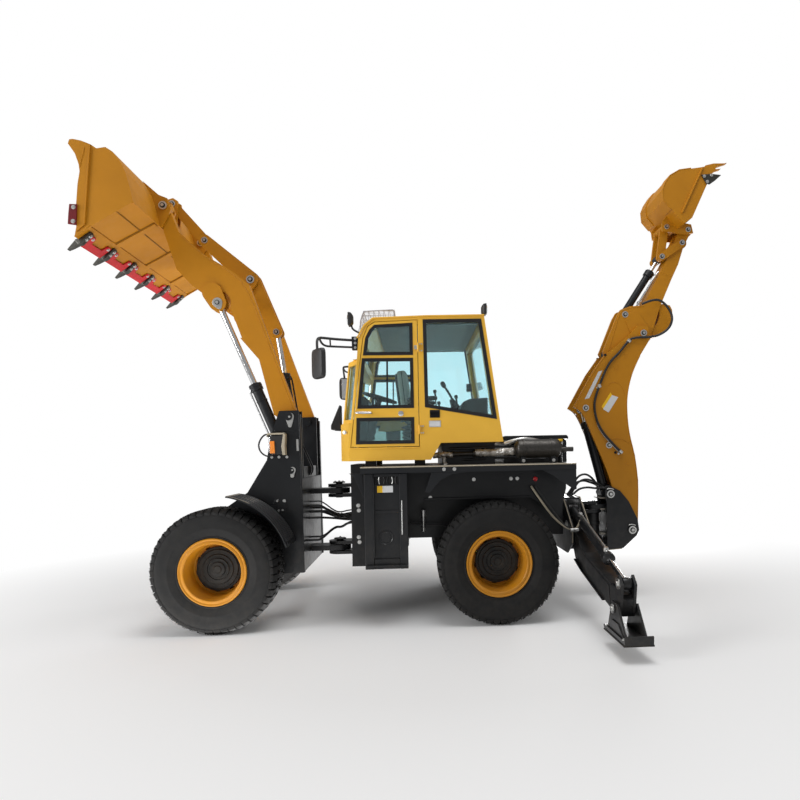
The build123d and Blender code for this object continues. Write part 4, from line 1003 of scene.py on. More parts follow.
def wrapped_pipe(name, points, radius):
    """A lagged pipe along a route, with the uneven wraps of its lagging."""
    rings = []
    for i in range(len(points) - 1):
        a, b = Vector(points[i]), Vector(points[i + 1])
        heading = b - a
        steps = max(2, int(heading.length / 0.018))
        for k in range(steps + (i == len(points) - 2)):
            swell = 1 + 0.07 * math.sin(9.1 * k + 2.0 * i) + 0.05 * math.sin(4.3 * k)
            rings.append(ring_about(a, heading, radius * swell, heading.length * k / steps, 24))
    skinned(name, rings, FOIL, "chassis")


wrapped_pipe("exhaust_wrap", [(-0.367, 0.6, 1.512), (-0.55, 0.605, 1.51), (-0.73, 0.65, 1.52)],
    0.034)
wrapped_pipe("exhaust_front", [(0.028, 0.585, 1.49), (-0.08, 0.6, 1.5), (-0.16, 0.6, 1.494)], 0.027)
wrapped_pipe("exhaust_stub", [(-0.073, 0.6, 1.488), (-0.08, 0.6, 1.435), (-0.095, 0.6, 1.404)],
    0.019)
spun("exhaust_joint", "chassis", (-0.155, 0.6, 1.5), (-1, 0, 0.02),
     [(0, 0.022), (0.0, 0.03), (0.012, 0.03), (0.013, 0.02), (0.195, 0.02), (0.196, 0.036),
      (0.215, 0.036), (0.216, 0.024)], EXHAUST)
spun("filler_cap", "chassis", (-1.171, 0.62, 1.6), (0, 0, 1),
     [(0, 0.012), (0.004, 0.026), (0.022, 0.026), (0.026, 0.02)], PLATE_YELLOW, steps=32)
spun("filler_neck", "chassis", (-1.171, 0.62, 1.404), (0, 0, 1),
     [(0, 0.02), (0.196, 0.02), (0.197, 0.018)], BLACK, steps=24)
hose("intake_pipe", "chassis", [(-0.66, 0.52, 1.59), (-0.8, 0.56, 1.64), (-0.95, 0.52, 1.62),
    (-1.05, 0.44, 1.6)], 0.022, ZINC)
for index, (y, z) in enumerate(((0.5, 1.455), (0.53, 1.56), (0.48, 1.61))):
    hose(f"deck_pipe_{index}", "chassis", [(-0.062, y, z), (-0.25, y + 0.06, z - 0.01),
        (-0.46, y + 0.06, z), (-0.66, y, z + 0.01), (-0.8, y - 0.02, z)], 0.013, HOSE)

# ---------------------------------------------------------------------------
# Cab. A welded shell and two doors in lighter amber enamel, with black bonded
# window borders, pale blue glass, a bar handle and lock, a vent, and lamps, a wire
# guard and mirrors on brackets.
CAB_PAINT = paint("cab_paint", (0.9, 0.515, 0.058), (0.81, 0.45, 0.048), 0.36, 0.15, 0.1)
CAB_GLASS = clear_glass("cab_glass", (0.7, 0.93, 0.97), 0.02)
# dark tinted glass for a second pane in each lower door window: painted shade that darkens the view
# into the cab
SHADE_TINTED_GLASS = clear_glass("shade_tinted_glass", (0.5, 0.57, 0.54), 0.03)
SEAL = moulded_plastic("window_seal", (0.008, 0.008, 0.01), (0.014, 0.014, 0.016), 0.35, 300, 0.1)
dress(CAB_PAINT, "cab_shell door_left door_right")
dress(CAB_GLASS, "cab_glass door_glass_left door_glass_right")


def inset(outline, width):
    """The same convex outline, moved in by this width."""
    count = len(outline)
    area = sum(outline[i][0] * outline[(i + 1) % count][1]
               - outline[(i + 1) % count][0] * outline[i][1] for i in range(count))
    turn = 1 if area > 0 else -1
    moved = []
    for i in range(count):
        before, here, after = (Vector(outline[(i + k) % count]) for k in (-1, 0, 1))
        first, second = (here - before).normalized(), (after - here).normalized()
        inward = Vector((-first.y, first.x)) * turn
        onward = Vector((-second.y, second.x)) * turn
        corner = (inward + onward) / (1 + inward.dot(onward))
        moved.append(tuple(here + corner * width))
    return moved


def border(name, outline, width, low, high, place, material, body):
    """A flat ring just inside an outline, between two depths."""
    inner = inset(outline, width)
    count = len(outline)
    verts = [place(a, b, t) for t in (low, high) for loop in (outline, inner) for a, b in loop]
    faces = []
    for i in range(count):
        j = (i + 1) % count
        faces += [(i, j, count + j, count + i),
                  (2 * count + i, 3 * count + i, 3 * count + j, 2 * count + j),
                  (i, 2 * count + i, 2 * count + j, j),
                  (count + i, count + j, 3 * count + j, 3 * count + i)]
    piece = mesh_object(name, verts, faces, material, smooth=False)
    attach(piece, body)
    return piece


DOOR_WINDOWS = {
    "top": [(0.645, 2.402), (0.622, 2.56), (0.583, 2.635), (0.54, 2.676), (0.196, 2.693),
            (0.196, 2.402)],
    "middle": [(0.704, 1.925), (0.654, 2.377), (0.196, 2.377), (0.196, 1.925)],
    "lower": [(0.722, 1.605), (0.712, 1.843), (0.196, 1.843), (0.196, 1.605)],
}
REAR_WINDOW = [(0.098, 1.93), (0.104, 2.722), (-0.426, 2.726), (-0.554, 1.812)]
for side, label in SIDES:
    door = f"door_{label}"

    def on_side(a, b, t, side=side):
        return (a, side * t, b)

    for part, window in DOOR_WINDOWS.items():
        border(f"seal_{part}_{label}", window, 0.03, 0.7865, 0.803, on_side, SEAL, door)
        border(f"seal_{part}_in_{label}", window, 0.018, 0.762, 0.7775, on_side, SEAL, door)
    # a second, dark tinted pane behind the lower door glass, as painted shade of the cab's inside
    extruded(f"smoked_pane_{label}", inset(DOOR_WINDOWS["lower"], 0.017), side * 0.7665,
        side * 0.7715, SHADE_TINTED_GLASS, door, bevel=0)
    border(f"seal_rear_{label}", REAR_WINDOW, 0.032, 0.7945, 0.803, on_side, SEAL, "chassis")
    border(f"seal_rear_in_{label}", REAR_WINDOW, 0.02, 0.77, 0.7855, on_side, SEAL, "chassis")
    # the sliding pane's bar, the pull handle on its two feet, and the lock
    extruded(f"pane_bar_{label}", [(0.428, 1.955), (0.444, 1.955), (0.438, 2.348), (0.422, 2.348)],
        side * 0.7865, side * 0.797, SEAL, door, bevel=0.001)
    hose(f"door_handle_{label}", door, [(0.712, side * 0.8, 1.888), (0.712, side * 0.836, 1.888),
        (0.7, side * 0.84, 1.887), (0.645, side * 0.841, 1.885), (0.59, side * 0.84, 1.884),
        (0.578, side * 0.836, 1.883), (0.578, side * 0.8, 1.883)], 0.011, CHROME)
    spun(f"door_lock_{label}", door, (0.315, side * 0.8, 1.876), (0, side, 0),
         [(0, 0.024), (0.004, 0.024), (0.006, 0.017), (0.014, 0.016), (0.015, 0.012)], CHROME)
    fasteners(f"hinge_bolts_{label}", "chassis",
              [((x, side * 0.806, z + shift), (0, side, 0))
               for z in (1.73, 2.47) for shift in (-0.0305, 0.0305) for x in (0.118, 0.138)],
              ZINC, 0.0045, 0.003, washer=0.007, thick=0.001)
    extruded(f"hinge_leaf_{label}", rect(0.158, 2.452, 0.186, 2.488), side * 0.806, side * 0.808,
        ZINC, door, bevel=0.0005)
    slat = skinned(f"vent_slat_{label}", [
        [(x, side * 0.804, 0), (x, side * 0.812, 0.002), (x, side * 0.804, 0.008)]
        for x in (-0.03, 0.049)], None, smooth=False)
    in_row(f"vent_slats_{label}", slat, "chassis", 5, (0, 0, 1.84), (0, 0, 0.0125), SEAL)
    spun(f"blank_badge_{label}", "chassis", (0.823, side * 0.77, 1.715), (0.32, side * 0.95, 0),
         [(-0.004, 0.018), (0.004, 0.018), (0.005, 0.014)], ZINC)
# vent grille with slats over a near-black plate of painted shade, and a blank plate under it
both_plates("vent", rect(-0.036, 1.834, 0.055, 1.904), 0.8005, 0.804, VENT_SHADE, bevel=0.001)
both_plates("blank_cab_plate", rect(-0.043, 1.75, 0.064, 1.808), 0.8005, 0.803, ZINC, bevel=0.001)
both_plates("blank_cab_inlay", rect(-0.037, 1.756, 0.058, 1.802), 0.803, 0.804, PLATE_WHITE,
    bevel=0)
# raised fold along the door's lower edge and the roof's rain gutter
both_hoses("door_fold", [(0.15, 1.566), (0.45, 1.566), (0.778, 1.566)], 0.004, CAB_PAINT, y=0.8005)
both_plates("rain_gutter", [(0.7, 2.56), (0.632, 2.68), (0.552, 2.742), (0.082, 2.7585),
    (-0.453, 2.7645), (-0.456, 2.752), (0.082, 2.746), (0.546, 2.73), (0.622, 2.668),
    (0.688, 2.556)], 0.796, 0.812, CAB_PAINT)


def leaning(low_z, high_z, low_x, high_x):
    """Places (y, z) and a depth on a leaning front or rear face."""
    slope = (high_x - low_x) / (high_z - low_z)

    def place(y, z, depth):
        return (low_x + (z - low_z) * slope + depth, y, z)
    return place


front_face = leaning(1.83, 2.32, 0.832, 0.7793)
brow_face = leaning(2.4, 2.55, 0.68, 0.667)
rear_face = leaning(1.86, 2.64, -0.563, -0.4585)
for label, low, high, half, place, sign in (
    ("windscreen", 1.83, 2.32, 0.6, front_face, 1), ("brow", 2.4, 2.55, 0.6, brow_face, 1),
    ("tail", 1.86, 2.64, 0.64, rear_face, -1),
):
    border(f"seal_{label}", rect(-half, low, half, high), 0.028,
           *sorted((sign * 0.0005, sign * 0.01)), place, SEAL, "chassis")

# wiper, front beacon, work lamps and the roof's wire guard
spun("wiper_motor", "chassis", (0.875, 0.1, 1.785), (1, 0, 0.1),
     [(0, 0.034), (0.016, 0.034), (0.02, 0.02), (0.034, 0.018)], PLASTIC)
hose("wiper_arm", "chassis", [(0.902, 0.1, 1.786), (0.888, 0.16, 1.86), (0.868, 0.26, 2.02),
    (0.838, 0.34, 2.16)], 0.006, PLASTIC)
extruded("front_beacon", [(0.89, 1.765), (0.905, 1.79), (0.905, 1.995), (0.917, 1.995), (1.0, 1.8),
    (1.0, 1.76), (0.965, 1.757)], 0.235, 0.365, PLASTIC, bevel=0.006)
extruded("front_beacon_arm", [(0.878, 1.745), (0.97, 1.752), (0.97, 1.762), (0.878, 1.757)], 0.27,
    0.33, BLACK)
for index, (x, y, z, facing, foot) in enumerate((
    (0.759, 0.75, 2.736, 1, (0.671, 0.75, 2.612)), (0.759, -0.75, 2.736, 1, (0.671, -0.75, 2.612)),
    (-0.47, 0.7, 2.829, -1, (-0.44, 0.7, 2.755)),
    (-0.47, -0.7, 2.829, -1, (-0.44, -0.7, 2.755)),
)):
    tall = 0.059 if facing > 0 else 0.05
    skinned(f"work_lamp_{index}", [
        [(x - facing * back, y + a * half, z + b * tall * half / 0.055)
         for a, b in ((-1, -1), (1, -1), (1, 1), (-1, 1))]
        for back, half in ((0.03, 0.03), (0.012, 0.052), (-0.016, 0.055))
    ], PLASTIC, "chassis", 0.006, False)
    spun(f"work_lens_{index}", "chassis", (x + facing * 0.0165, y, z), (facing, 0, 0),
         [(0, 0.045), (0.004, 0.044), (0.007, 0.034)], LAMP_GLASS)
    hose(f"work_lamp_arm_{index}", "chassis",
         [(x - facing * 0.012, y, z - tall + 0.008), (x - facing * 0.016, y, z - tall - 0.02),
          ((x + foot[0]) / 2, y, (z - tall + foot[2]) / 2 - 0.012), foot], 0.009, PLASTIC)


def wire_tree():
    """A flat panel of welded wire with square cells."""
    tree, given, result = new_group("WireMesh", "GeometryNodeTree", "Geometry", Length=0.3,
        Width=0.8, Cells_Long=6, Cells_Wide=12, Wire_Radius=0.0022, Finish="Material")
    grid = add(tree, "GeometryNodeMeshGrid", Size_X=given["Length"], Size_Y=given["Width"],
        Vertices_X=given["Cells Long"], Vertices_Y=given["Cells Wide"])["Mesh"]
    wires = add(tree, "GeometryNodeMeshToCurve", Mesh=grid)[0]
    section = add(tree, "GeometryNodeCurvePrimitiveCircle", Resolution=6,
        Radius=given["Wire Radius"])[0]
    tubes = add(tree, "GeometryNodeCurveToMesh", Curve=wires, Profile_Curve=section,
        Fill_Caps=True)[0]
    return finished(tree, given, result, tubes)


WIRE_MESH = wire_tree()
GUARD_WIRE = paint("guard_wire", (0.42, 0.42, 0.46), (0.34, 0.34, 0.38), 0.5, 0.0, 0.0)


def rounded(power, turn):
    """A point on a rounded square: 1 is a circle, less is squarer."""
    return [math.copysign(abs(t) ** power, t) for t in (math.cos(turn), math.sin(turn))]


def wire_panel(name, length, width, long_cells, wide_cells, matrix):
    """A wire mesh panel turned and moved to its place on the cab."""
    panel = grown(name, WIRE_MESH, Length=length, Width=width, Cells_Long=long_cells,
        Cells_Wide=wide_cells, Finish=GUARD_WIRE)
    panel.data.transform(matrix)
    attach(panel, "chassis")


guard_top = Matrix.Translation((0.515, 0, 2.897)) @ Matrix.Rotation(math.radians(2), 4, "Y")
wire_panel("guard_top", 0.3, 0.8, 7, 15, guard_top)
front_lean = math.atan2(2.897 - 2.705, 0.716 - 0.665)
guard_front = Matrix.Translation((0.69, 0, 2.798)) @ Matrix.Rotation(front_lean, 4, "Y")
wire_panel("guard_front", 0.2, 0.8, 5, 15, guard_front)
for side, label in SIDES:
    stand = Matrix.Translation((0.52, side * 0.4, 2.825)) @ Matrix.Rotation(math.pi / 2, 4, "X")
    wire_panel(f"guard_side_{label}", 0.29, 0.14, 7, 4, stand)
both_hoses("guard_rail", [(0.365, 2.745), (0.365, 2.903), (0.4, 2.903), (0.64, 2.892),
    (0.668, 2.885), (0.712, 2.735), (0.66, 2.64)], 0.006, GUARD_WIRE, y=0.4)

# mirrors: rounded housings on bent tubes from a clamp on each corner post
for side, label in SIDES:
    about = Matrix.Translation((1.008, side * 1.03, 2.3)) @ Matrix.Rotation(
        math.radians(side * 38), 4, "Z")
    rings = []
    for depth, half_w, half_h in ((0.0225, 0.06, 0.1), (0.016, 0.084, 0.122), (0.0, 0.094, 0.13),
                                  (-0.018, 0.095, 0.131), (-0.0225, 0.091, 0.127)):
        rings.append([tuple(about @ Vector((depth, half_w * a, half_h * b)))
                      for a, b in (rounded(0.35, math.pi * (k + 0.5) / 16) for k in range(32))])
    housing = skinned(f"mirror_housing_{label}", rings, PLASTIC, "chassis")
    if side > 0:
        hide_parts("mirrors")
    glass = [[tuple(about @ Vector((depth, half_w * a, half_h * b))) for a, b in (
        (-1, -0.9), (-0.9, -1), (0.9, -1), (1, -0.9), (1, 0.9), (0.9, 1), (-0.9, 1), (-1, 0.9))]
        for depth, half_w, half_h in ((-0.0227, 0.084, 0.118), (-0.0247, 0.083, 0.117))]
    skinned(f"mirror_glass_{label}", glass, REFLECTOR, "chassis", smooth=False)
    fasteners(f"mirror_bolts_{label}", "chassis",
              [((0.713, side * 0.792, z), (0, side, 0)) for z in (2.475, 2.515, 2.555)],
              ZINC, 0.008, 0.006)
both_hoses("mirror_tube", [(0.72, 0.762, 2.545), (0.86, 0.826, 2.5425), (0.98, 0.885, 2.546),
    (1.012, 0.902, 2.545), (1.02, 0.97, 2.52), (1.018, 1.02, 2.47), (1.012, 1.03, 2.4)], 0.0115,
    PLASTIC)
both_hoses("mirror_stay", [(0.72, 0.762, 2.482), (0.87, 0.826, 2.478), (1.003, 0.888, 2.475),
    (1.012, 0.902, 2.545)], 0.0095, PLASTIC)
both_hoses("mirror_spacer", [(0.926, 0.858, 2.545), (0.926, 0.855, 2.51), (0.924, 0.852, 2.477)],
    0.007, PLASTIC)
both_plates("mirror_clamp", [(0.688, 2.455), (0.742, 2.455), (0.745, 2.575), (0.682, 2.575)], 0.745,
    0.792, BLACK, bevel=0.004)

# ---------------------------------------------------------------------------
# Operator's place. A sprung seat with crowned, stitched cushions under a loose pale
# cover, a steering wheel on a tilted column with a dash, side and rear consoles with
# levers, a grey headlining and a rubber mat.


def woven_cloth(name, colour, paler, weave=420):
    """Coarse woven cloth with crossed threads."""
    material, tree, shader, _, _ = surface(
        name, colour, paler, (6.0, 0.3, 0.75), Roughness=0.9, Sheen_Weight=0.3)
    threads = [texture(tree, "Wave", "Fac", Scale=weave, bands_direction=axis) for axis in "XZ"]
    bumped(tree, shader, sum_of(tree, "MAXIMUM", *threads), 0.4, 0.0008)
    return material


SEAT_CLOTH = woven_cloth("seat_cloth", (0.035, 0.036, 0.04), (0.06, 0.06, 0.064))
SEAT_COVER = woven_cloth("seat_cover", (0.36, 0.37, 0.33), (0.5, 0.51, 0.46), 300)
LINING = woven_cloth("headlining", (0.11, 0.12, 0.11), (0.15, 0.16, 0.15), 250)


def cushion(name, centre, half, lean, material, crown, pleats=(), folds=0.0):
    """A closed padded form with a crowned face, sunk seams and soft folds."""
    work = bmesh.new()
    bmesh.ops.create_cube(work, size=2)
    bmesh.ops.subdivide_edges(work, edges=work.edges, cuts=27, use_grid_fill=True)
    tilt = Matrix.Rotation(math.radians(lean), 3, "Y")
    for vert in work.verts:
        x, y, z = vert.co
        size = (abs(x) ** 5 + abs(y) ** 5 + abs(z) ** 5) ** 0.2
        x, y, z = x / size, y / size, z / size
        face = max(0.0, z)
        rise = crown * face * (1 - x * x) * (1 - y * y)
        for seam in pleats:
            rise -= 0.01 * face * math.exp(-((abs(y) - seam) / 0.035) ** 2)
            rise -= 0.007 * face * math.exp(-((x - 0.52) / 0.03) ** 2)
        soft = math.sin(7 * x + 3 * y) * math.sin(9 * y - 4 * x + 1.3)
        rise += 0.002 * face * soft
        drape = folds * math.sin(26 * y + 2.4 * math.sin(3 * x)) * (0.6 + 0.4 * math.sin(5 * y))
        place = Vector((x * half[0], y * half[1], z * half[2] + rise + drape * abs(z)))
        place.x += folds * 0.6 * math.sin(19 * y) * abs(x)
        vert.co = Vector(centre) + tilt @ place
    mesh = bpy.data.meshes.new(name)
    work.to_mesh(mesh)
    work.free()
    mesh.shade_smooth()
    piece = placed(name, mesh, material)
    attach(piece, "chassis")
    return piece


def piping(name, centre, half, lean, level, material):
    """The corded seam round a cushion's edge."""
    tilt = Matrix.Rotation(math.radians(lean), 3, "Y")
    points = []
    for k in range(49):
        turn = 2 * math.pi * k / 48
        x, y = rounded(0.4, turn)
        at = Vector((x * half[0] * 0.985, y * half[1] * 0.985, level))
        points.append(tuple(Vector(centre) + tilt @ at))
    hose(name, "chassis", points, 0.005, material)


# the seat is turned to the rear, so its backrest stands at the front
CUSHION_PLACE, CUSHION_HALF = (0.09, 0, 1.866), (0.245, 0.235, 0.075)
seat_pad = cushion("seat_cushion", CUSHION_PLACE, CUSHION_HALF, 4, SEAT_CLOTH, 0.022,
    pleats=(0.55,))
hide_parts("seat")
piping("seat_piping", CUSHION_PLACE, CUSHION_HALF, 4, 0.035, SEAT_CLOTH)
BACK_PLACE, BACK_HALF = (0.298, 0, 2.15), (0.206, 0.225, 0.052)
cushion("seat_backrest", BACK_PLACE, BACK_HALF, -84, SEAT_COVER, 0.012, pleats=(0.5,), folds=0.005)
piping("back_piping", BACK_PLACE, BACK_HALF, -84, 0.0, SEAT_CLOTH)
cushion("back_lining", (0.345, 0, 2.14), (0.19, 0.195, 0.024), -84, SEAT_CLOTH, 0.0)
extruded("seat_pan", [(-0.13, 1.775), (0.335, 1.762), (0.335, 1.792), (-0.13, 1.805)], -0.225,
    0.225, PLASTIC, bevel=0.006)
rings = []
for step in range(13):
    z = 1.515 + 0.255 * step / 12
    pinch = 0.022 if step % 2 else 0.0
    rings.append([(0.21 + (0.118 - pinch) * x, (0.19 - pinch) * y, z)
                  for x, y in (rounded(0.5, 2 * math.pi * k / 40) for k in range(40))])
skinned("seat_bellows", rings, HOSE, "chassis")
for side, label in SIDES:
    cushion(f"armrest_{label}", (0.115, side * 0.285, 2.05), (0.15, 0.03, 0.022), 3, SEAT_CLOTH,
        0.004)
both_hoses("armrest_stay", [(0.215, 0.285, 2.035), (0.265, 0.265, 1.98), (0.285, 0.225, 1.93)],
    0.01, PLASTIC)

# steering: rim, spokes, hub, column with a ribbed boot, dash and its dials
WHEEL_CENTRE = Vector((0.545, 0.0, 2.092))
WHEEL_AXIS = Vector((-0.29, 0.0, 0.957))
rim_points = ring_about(WHEEL_CENTRE, WHEEL_AXIS, 0.172, 0.0, 48)
hose("steering_rim", "chassis", rim_points + rim_points[:1], 0.0135, PLASTIC)
for index in range(3):
    spoke = rim_points[(index * 16 + 4) % 48]
    middle = WHEEL_CENTRE * 0.5 + Vector(spoke) * 0.5 - WHEEL_AXIS * 0.018
    hose(f"steering_spoke_{index}", "chassis",
         [tuple(WHEEL_CENTRE - WHEEL_AXIS * 0.02), tuple(middle), spoke], 0.0095, PLASTIC)
spun("steering_hub", "chassis", WHEEL_CENTRE - WHEEL_AXIS * 0.04, WHEEL_AXIS, [
    (0.0, 0.026), (0.012, 0.036), (0.035, 0.044), (0.048, 0.04), (0.054, 0.022)], PLASTIC)
column = spun("steering_column", "chassis", (0.69, 0, 1.62), WHEEL_CENTRE - Vector((0.69, 0, 1.62)),
    [(0.0, 0.07), (0.02, 0.074), (0.05, 0.058), (0.08, 0.07), (0.11, 0.055), (0.14, 0.062),
    (0.2, 0.045), (0.4, 0.04), (0.44, 0.028), (0.46, 0.026)], PLASTIC)
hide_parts("operator_controls")
skinned("dash", [
    [(0.64, y, 1.96), (0.77, y, 1.975), (0.782, y, 2.02), (0.735, y, 2.088), (0.69, y, 2.098),
     (0.655, y, 2.06)]
    for y in (-0.3, -0.28, 0.12, 0.14)], PLASTIC, "chassis", 0.006, False)
skinned("column_cover", [
    [(0.665, y, 1.506), (0.762, y, 1.506), (0.762, y, 1.97), (0.672, y, 1.97)] for y in (-0.1, 0.1)
], PLASTIC, "chassis", 0.012, False)
for index, (y, size) in enumerate(((-0.22, 0.03), (-0.14, 0.036), (-0.05, 0.036), (0.04, 0.03))):
    spun(f"dial_{index}", "chassis", (0.669, y, 2.075), (-0.74, 0, 0.67), [(-0.004, size + 0.005),
        (0.006, size + 0.005), (0.007, size), (0.002, size - 0.001)], REFLECTOR)
for index, (y, reach) in enumerate(((0.13, 0.1), (-0.13, 0.09))):
    hose(f"stalk_{index}", "chassis", [(0.59, y * 0.25, 2.03), (0.585, y * 0.8, 2.055),
        (0.575, y * 0.8 + y * reach * 6, 2.075)], 0.006, PLASTIC)

# consoles and levers
skinned("rear_console", [
    [(x, y, z) for x, z in ((-0.525, 1.662), (-0.225, 1.662), (-0.24, 1.9), (-0.285, 2.012),
                            (-0.35, 2.04), (-0.525, 2.05))]
    for y in (-0.36, -0.345, 0.345, 0.36)], PLASTIC, "chassis", 0.008, False)
spun("lever_boot_0", "chassis", (-0.262, -0.3, 1.98), (0.4, 0, 0.9), [(0.0, 0.062), (0.02, 0.058),
    (0.03, 0.048), (0.05, 0.047), (0.06, 0.038), (0.1, 0.032), (0.13, 0.022)], HOSE, steps=24)
hose("lever_0", "chassis", at_y(-0.3, [(-0.262, 2.01), (-0.205, 2.125), (-0.165, 2.195),
    (-0.124, 2.252)]), 0.013, PLASTIC)
spun("lever_knob_0", "chassis", (-0.14, -0.3, 2.225), (0.47, 0, 0.88), [
    (0.0, 0.016), (0.015, 0.024), (0.045, 0.026), (0.062, 0.021), (0.072, 0.008)], PLASTIC)
for index, (x, y, low, high) in enumerate((
    (-0.034, -0.3, 2.045, 2.175), (-0.075, -0.3, 1.97, 2.05), (-0.256, -0.2, 2.03, 2.105),
)):
    hose(f"small_lever_{index}", "chassis", [(x - 0.012, y, low - 0.04), (x - 0.004, y, low + 0.05),
        (x, y, high)], 0.0065, PLASTIC)
    spun(f"small_knob_{index}", "chassis", (x, y, high - 0.012), (0.1, 0, 1), [(-0.07, 0.01),
        (0.0, 0.011), (0.008, 0.019), (0.03, 0.02), (0.04, 0.008)], PLASTIC, steps=20)
skinned("side_console", [
    [(-0.1, y, 1.662), (0.3, y, 1.662), (0.34, y, 1.95), (0.1, y, 2.0), (-0.06, y, 2.02)]
    for y in (-0.47, -0.455, -0.325, -0.31)], PLASTIC, "chassis", 0.01, False)
extruded("pillar_switch_box", rect(-0.475, 2.217, -0.41, 2.307), -0.735, -0.69, PLASTIC,
    bevel=0.008)
extruded("tool_tray", [(0.544, 1.735), (0.5, 1.812), (0.285, 1.814), (0.262, 1.788), (0.334, 1.766),
    (0.277, 1.741), (0.454, 1.728)], 0.4, 0.46, CAB_PAINT, bevel=0.004)
extruded("tool_tray_bracket", [(0.335, 1.5065), (0.455, 1.5065), (0.47, 1.735), (0.33, 1.745)],
    0.41, 0.45, PLASTIC, bevel=0.004)
extruded("rubber_mat", rect(0.1, -0.7, 0.6, 0.7), 1.5055, 1.512, HOSE, axis="Z")
extruded("headlining", [(0.522, 2.68), (0.082, 2.6965), (-0.4, 2.7025), (-0.4, 2.69),
    (0.082, 2.684), (0.512, 2.668)], -0.735, 0.735, LINING)
# inner trim on the corner posts and under the rear windows
both_plates("post_trim", [(0.106, 1.93), (0.142, 1.93), (0.142, 2.68), (0.108, 2.68)], 0.738,
    0.7485, LINING, bevel=0.003)
both_plates("sill_trim", [(0.09, 1.7), (0.09, 1.905), (-0.53, 1.795), (-0.53, 1.7)], 0.738, 0.7485,
    LINING, bevel=0.003)

# ---------------------------------------------------------------------------
# Backhoe. A black swing post, and an amber boom, stick, levers and bucket of welded
# plate. Plated washers hold the pins, a hose loops over the stick's joint, and the
# bucket has wear bands, side cutters and ribs.
for side, label in SIDES:
    for name, body, y, radius, places in (
        ("post", "swing_post", 0.1902, 0.04, ((-2.007, 0.694), (-1.787, 1.065))),
        ("boom", "boom", 0.1352, 0.033, ((-1.562, 1.95), (-1.797, 1.564))),
        ("pivot", "boom", 0.1502, 0.034, ((-2.176, 2.711),)),
        ("stick", "stick", 0.0952, 0.033, ((-2.005, 2.915),)),
        ("lever", "guide_levers", 0.1192, 0.028, ((-2.614, 3.652), (-2.398, 3.508))),
        ("tip", "hoe_bucket", 0.1482, 0.027, ((-2.667, 3.776), (-2.441, 3.805))),
    ):
        pin_heads(f"hoe_pins_{name}_{label}", body, [(x, z, side * y, side) for x, z in places],
                  radius)
    for index, (x, z) in enumerate(((-2.007, 0.694), (-1.787, 1.065))):
        hose(f"post_pin_hook_{index}_{label}", "swing_post", [(x - 0.03, side * 0.194, z + 0.046),
            (x + 0.005, side * 0.196, z + 0.066), (x + 0.04, side * 0.194, z + 0.05)], 0.005, ZINC)
    # beads along the boom's edges, the doubler's arc and the weld across its foot
    edge = side * 0.1355
    for part, points, radius in (
        ("front", ((-1.87, 0.93), (-1.813, 1.205), (-1.66, 1.58), (-1.532, 1.905),
                   (-1.44, 1.961), (-1.64, 2.313), (-1.765, 2.48)), 0.0045),
        ("rear", ((-2.076, 0.7), (-2.087, 0.942), (-2.092, 1.199), (-2.063, 1.457),
                  (-2.003, 1.696), (-1.986, 1.973), (-2.007, 2.15), (-2.064, 2.343),
                  (-2.138, 2.48)), 0.0045),
        ("foot", ((-1.76, 1.586), (-1.8, 1.622), (-1.882, 1.634), (-1.945, 1.622),
                  (-2.038, 1.567)), 0.0035),
        ("doubler", ((-1.775, 2.11), (-1.785, 2.165), (-1.815, 2.2), (-1.864, 2.213),
                     (-1.923, 2.196), (-1.958, 2.14), (-1.965, 2.08)), 0.0025),
    ):
        hose(f"boom_bead_{part}_{label}", "boom", at_y(edge, points), radius, AMBER)
    for index, (x, z, size) in enumerate(((-1.981, 2.48, 0.02), (-1.889, 2.364, 0.026),
                                          (-1.982, 1.37, 0.02), (-2.015, 1.163, 0.02))):
        spun(f"boom_stamp_{index}_{label}", "boom", (x, side * 0.1345, z), (0, side, 0),
             [(0, size), (0.0025, size), (0.0028, size - 0.004), (0.0012, size - 0.005)], AMBER)
    # curved wear band round the back of the bucket
    shell = [(-2.43, 3.926), (-2.352, 4.018), (-2.344, 4.116), (-2.373, 4.187), (-2.425, 4.265),
        (-2.52, 4.319), (-2.64, 4.337)]
    outer = [(-2.639, 4.3455), (-2.517, 4.3275), (-2.419, 4.272), (-2.365, 4.192), (-2.335, 4.118),
        (-2.344, 4.013), (-2.424, 3.919)]
    extruded(f"hoe_wear_band_{label}", shell + outer, *sorted((side * 0.15, side * 0.303)), AMBER,
        "hoe_bucket", bevel=0.0015)
both_bolts("boom_taps", 0.1352, [(-1.862, 1.487), (-1.775, 2.49)], 0.009, 0.01, "boom",
    finish=HUB_BLACK, sides=12)
both_hoses("stick_bead", [(-1.81, 2.5), (-1.93, 2.88), (-1.965, 2.955), (-2.06, 2.99),
    (-2.2, 2.998)], 0.0035, AMBER, "stick", y=0.0955)
both_hoses("stick_seam", [(-2.385, 3.345), (-2.44, 3.32), (-2.515, 3.305)], 0.0025, AMBER, "stick",
    y=0.0955)
both_plates("stick_cheek", round_ended((-2.176, 2.711), (-2.09, 2.86), 0.105, 0.085), 0.0952, 0.1,
    AMBER, "stick")
both_plates("lever_cheek", round_ended((-2.614, 3.652), (-2.5, 3.57), 0.055, 0.05), 0.0952, 0.0985,
    AMBER, "stick", bevel=0.001)
